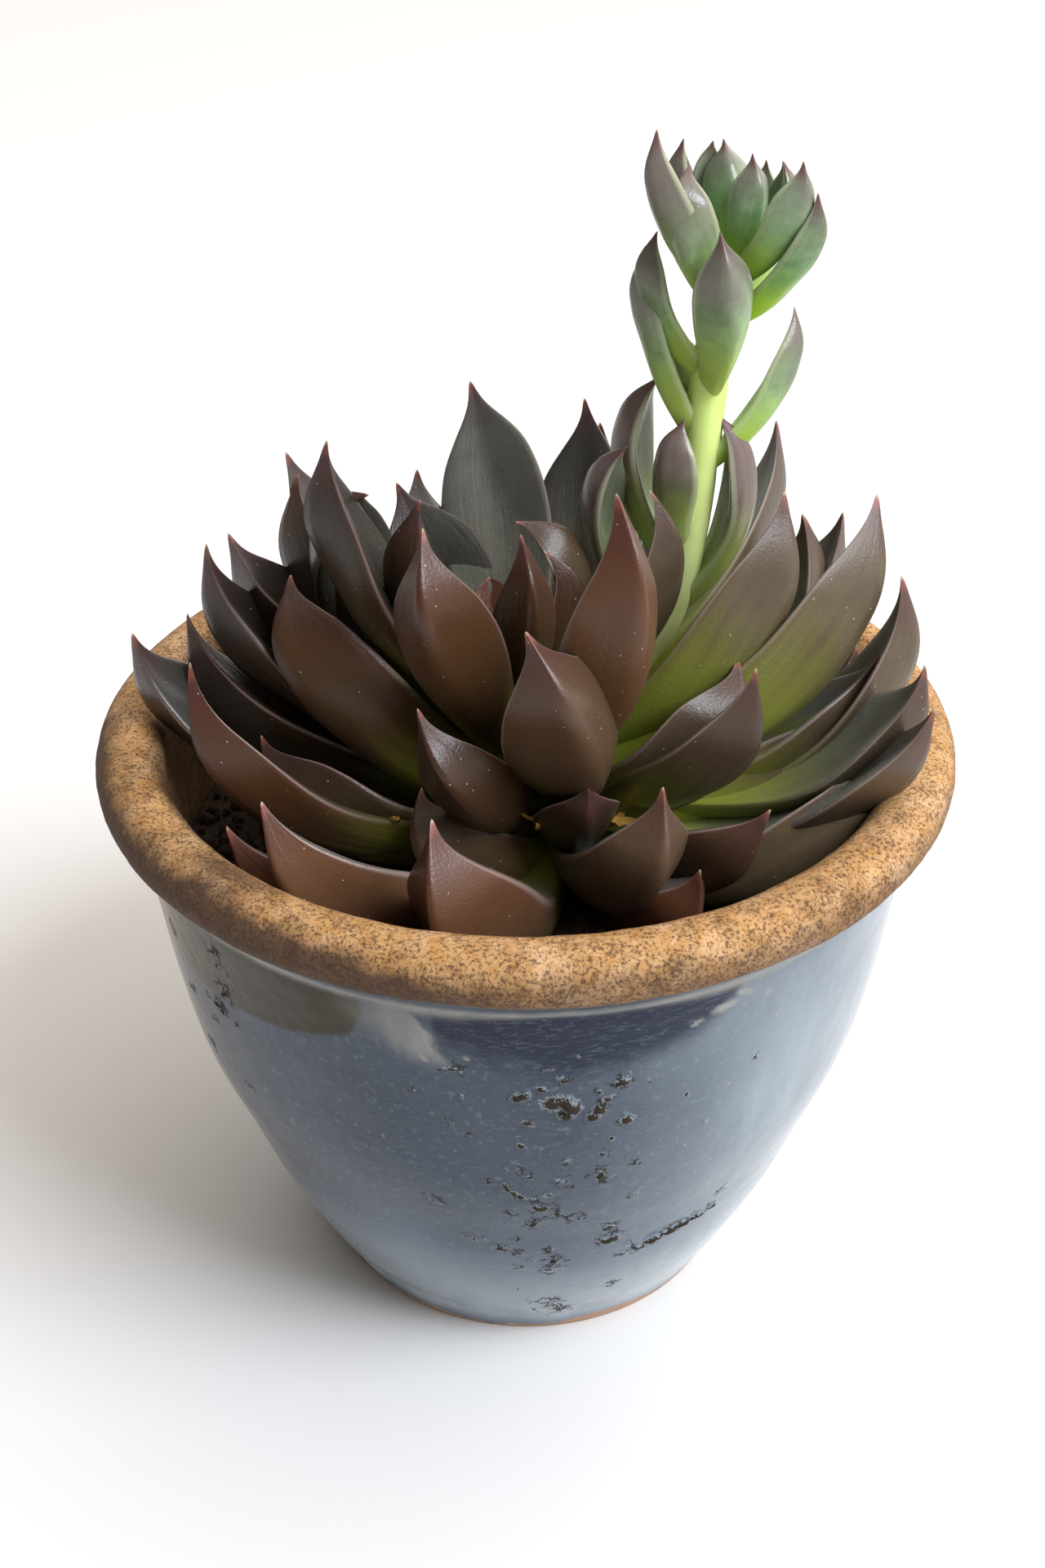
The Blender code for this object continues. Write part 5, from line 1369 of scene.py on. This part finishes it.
def make_camera():
    """A 50 mm camera in front of the plant and above it, turned down by 33 degrees."""
    pitch, yaw, roll = CAMERA_PITCH, CAMERA_YAW, CAMERA_ROLL
    forward = Vector((sin(yaw) * cos(pitch), cos(yaw) * cos(pitch), -sin(pitch)))
    right = forward.cross(Vector((0, 0, 1))).normalized()
    up = right.cross(forward)
    level_right = right * cos(roll) + up * sin(roll)
    level_up = up * cos(roll) - right * sin(roll)
    lens = bpy.data.cameras.new("camera")
    lens.lens = CAMERA_LENS
    lens.sensor_width = CAMERA_SENSOR
    lens.clip_start = 0.01
    camera = in_scene("camera", lens)
    turned = Matrix((level_right, level_up, -forward)).transposed().to_4x4()
    turned.translation = CAMERA_PLACE
    camera.matrix_world = turned
    bpy.context.scene.camera = camera


def make_room(settings):
    """The light from all round: bright above and to the right, dark at the left above a low pale wall."""
    world = bpy.data.worlds.new("white room")
    world.use_nodes = True
    tree = world.node_tree
    tree.nodes.clear()
    direction = node(tree, "ShaderNodeTexCoord", out="Generated")
    toward = node(tree, "ShaderNodeVectorMath", {0: direction, 1: BRIGHT_SIDE}, out="Value",
                  operation="DOT_PRODUCT")
    share = node(tree, "ShaderNodeMapRange", {"Value": toward, "From Min": -0.05, "From Max": 0.85},
                 interpolation_type="SMOOTHSTEP")
    height = node(tree, "ShaderNodeSeparateXYZ", {0: direction}, out="Z")
    wall = node(tree, "ShaderNodeMapRange", {"Value": height, "From Min": 0.3, "From Max": 0.02},
                interpolation_type="SMOOTHSTEP")
    light = (0.05, 0.045, 0.04, 1.0)
    for shown, over in ((wall, (0.34, 0.32, 0.30, 1.0)), (share, (*settings.room_colour, 1.0))):
        light = node(tree, "ShaderNodeMix", {0: shown, 6: light, 7: over}, out=2, data_type="RGBA")
    sky = node(tree, "ShaderNodeBackground", {"Color": light, "Strength": settings.room_light})
    node(tree, "ShaderNodeOutputWorld", {"Surface": sky})
    bpy.context.scene.world = world


def make_stage(settings):
    """A pale floor, soft light from the right and the camera."""
    half = FLOOR_SIZE / 2
    mesh = bpy.data.meshes.new("floor")
    corners = [(-half, -half, 0), (half, -half, 0), (half, half, 0), (-half, half, 0)]
    mesh.from_pydata(corners, [], [(0, 1, 2, 3)])
    mesh.materials.append(plain_material("pale studio paper", linear("#D3D2D1"), 0.8))
    floor = in_scene("floor", mesh)
    make_room(settings)
    add_light("window", settings.window_light, 1.5, "#E9F2FF", -36.0, 48.0, 3.2)
    bpy.context.scene.view_settings.view_transform = "Standard"
    make_camera()


# ------------------------------------------------------------------------------------------------- add-on


class PlanterSettings(bpy.types.PropertyGroup):
    """Sizes and colours of the planter and the compost."""

    rim_radius: FloatProperty(name="Rim radius", description="Outer radius of the rolled rim",
                              subtype="DISTANCE", unit="LENGTH", default=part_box("pot")[1].x, min=0.03)
    height: FloatProperty(name="Height", description="Height of the pot over the floor", subtype="DISTANCE",
                          unit="LENGTH", default=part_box("pot")[1].z, min=0.03)
    pit_depth: FloatProperty(name="Pit depth", description="How deep the pits are, as a share of those listed",
                             subtype="FACTOR", default=1.0, min=0.0, max=2.0)
    clay: FloatVectorProperty(name="Clay", description="Colour of the bare clay of the rim", subtype="COLOR",
                              size=3, min=0.0, max=1.0, default=linear("#C89C68")[:3])
    glaze: FloatVectorProperty(name="Glaze", description="Main colour of the glaze", subtype="COLOR",
                               size=3, min=0.0, max=1.0, default=linear("#677484")[:3])


class CompostSettings(bpy.types.PropertyGroup):
    """Sizes of the loose crumbs on the compost."""

    crumbs_per_area: FloatProperty(name="Crumbs per square metre", description="How thickly the crumbs lie",
                                   default=170000.0, min=0.0)
    smallest_crumb: FloatProperty(name="Smallest crumb", description="Radius of the smallest crumb",
                                  subtype="DISTANCE", unit="LENGTH", default=0.0004, min=0.0001)
    largest_crumb: FloatProperty(name="Largest crumb", description="Radius of the largest crumb",
                                 subtype="DISTANCE", unit="LENGTH", default=0.0022, min=0.0002)


class PlantSettings(bpy.types.PropertyGroup):
    """Colours of the plant and the fineness of its leaves."""

    leaf_stations: IntProperty(name="Rings in a leaf", description="Rings of faces from its root to its tip",
                               default=44, min=12, max=60)
    blade: FloatVectorProperty(name="Blade", description="Main colour of a leaf's blade", subtype="COLOR",
                               size=3, min=0.0, max=1.0, default=linear("#22130E")[:3])
    spine: FloatVectorProperty(name="Spine", description="Colour of the soft spine at a leaf's tip",
                               subtype="COLOR", size=3, min=0.0, max=1.0, default=linear("#84493F")[:3])
    bract: FloatVectorProperty(name="Bract", description="Colour of a bract's base", subtype="COLOR",
                               size=3, min=0.0, max=1.0, default=linear("#A6D03C")[:3])
    stem: FloatVectorProperty(name="Stem", description="Colour of the flower stem", subtype="COLOR",
                              size=3, min=0.0, max=1.0, default=linear("#C6DF74")[:3])


class StageSettings(bpy.types.PropertyGroup):
    """The light that the plant is shown in."""

    window_light: FloatProperty(name="Window light", description="Power of the soft light from the right",
                                subtype="POWER", unit="POWER", default=128.0, min=0.0)
    room_light: FloatProperty(name="Room light", description="Strength of the light from all round",
                              default=2.05, min=0.0)
    room_colour: FloatVectorProperty(name="Room colour", description="Colour of the light from all round",
                                     subtype="COLOR", size=3, min=0.0, max=1.0, default=(1.0, 0.93, 0.85))


class ECHEVERIA_OT_planter(bpy.types.Operator):
    """Build the glazed planter"""

    bl_idname = "echeveria.planter"
    bl_label = "Planter"

    def execute(self, context):
        make_planter(context.scene.echeveria_planter)
        return {"FINISHED"}


class ECHEVERIA_OT_compost(bpy.types.Operator):
    """Fill the planter with compost"""

    bl_idname = "echeveria.compost"
    bl_label = "Compost"

    def execute(self, context):
        make_compost()
        return {"FINISHED"}


class ECHEVERIA_OT_crumbs(bpy.types.Operator):
    """Strew loose crumbs on the compost"""

    bl_idname = "echeveria.crumbs"
    bl_label = "Crumbs"

    def execute(self, context):
        make_crumbs(context.scene.echeveria_compost)
        return {"FINISHED"}


class ECHEVERIA_OT_rosette(bpy.types.Operator):
    """Build the rosette of leaves and the dried husks in it"""

    bl_idname = "echeveria.rosette"
    bl_label = "Rosette"

    def execute(self, context):
        make_rosette(context.scene.echeveria_plant)
        make_husks()
        return {"FINISHED"}


class ECHEVERIA_OT_stem(bpy.types.Operator):
    """Build the stem of the flower stalk"""

    bl_idname = "echeveria.stem"
    bl_label = "Flower stem"

    def execute(self, context):
        make_stem(context.scene.echeveria_plant)
        return {"FINISHED"}


class ECHEVERIA_OT_bracts(bpy.types.Operator):
    """Build the bracts of the flower stalk"""

    bl_idname = "echeveria.bracts"
    bl_label = "Bracts"

    def execute(self, context):
        make_bracts(context.scene.echeveria_plant)
        return {"FINISHED"}


class ECHEVERIA_OT_stage(bpy.types.Operator):
    """Set up the floor, the light and the camera"""

    bl_idname = "echeveria.stage"
    bl_label = "Stage"

    def execute(self, context):
        make_stage(context.scene.echeveria_stage)
        return {"FINISHED"}


class ECHEVERIA_PT_panel(bpy.types.Panel):
    """Buttons and settings for each piece"""

    bl_label = "Potted echeveria"
    bl_idname = "ECHEVERIA_PT_panel"
    bl_space_type = "VIEW_3D"
    bl_region_type = "UI"
    bl_category = "Echeveria"

    def draw(self, context):
        scene = context.scene
        for operator in OPERATORS:
            self.layout.operator(operator.bl_idname)
        for name in GROUPS:
            group = getattr(scene, name)
            box = self.layout.box()
            for key in group.__annotations__:
                box.prop(group, key)


OPERATORS = (
    ECHEVERIA_OT_planter,
    ECHEVERIA_OT_compost,
    ECHEVERIA_OT_crumbs,
    ECHEVERIA_OT_rosette,
    ECHEVERIA_OT_stem,
    ECHEVERIA_OT_bracts,
    ECHEVERIA_OT_stage,
)
GROUPS = {
    "echeveria_planter": PlanterSettings,
    "echeveria_compost": CompostSettings,
    "echeveria_plant": PlantSettings,
    "echeveria_stage": StageSettings,
}


def register():
    """Register the settings, the operators and the panel."""
    for name, group in GROUPS.items():
        bpy.utils.register_class(group)
        setattr(bpy.types.Scene, name, PointerProperty(type=group))
    for operator in OPERATORS:
        bpy.utils.register_class(operator)
    bpy.utils.register_class(ECHEVERIA_PT_panel)


def unregister():
    """Undo what register does."""
    bpy.utils.unregister_class(ECHEVERIA_PT_panel)
    for operator in reversed(OPERATORS):
        bpy.utils.unregister_class(operator)
    for name, group in reversed(GROUPS.items()):
        delattr(bpy.types.Scene, name)
        bpy.utils.unregister_class(group)


def main():
    """Build every piece and the stage."""
    register()
    bpy.ops.echeveria.planter()
    bpy.ops.echeveria.compost()
    bpy.ops.echeveria.crumbs()
    bpy.ops.echeveria.rosette()
    bpy.ops.echeveria.stem()
    bpy.ops.echeveria.bracts()
    bpy.ops.echeveria.stage()


if __name__ == "__main__":
    main()
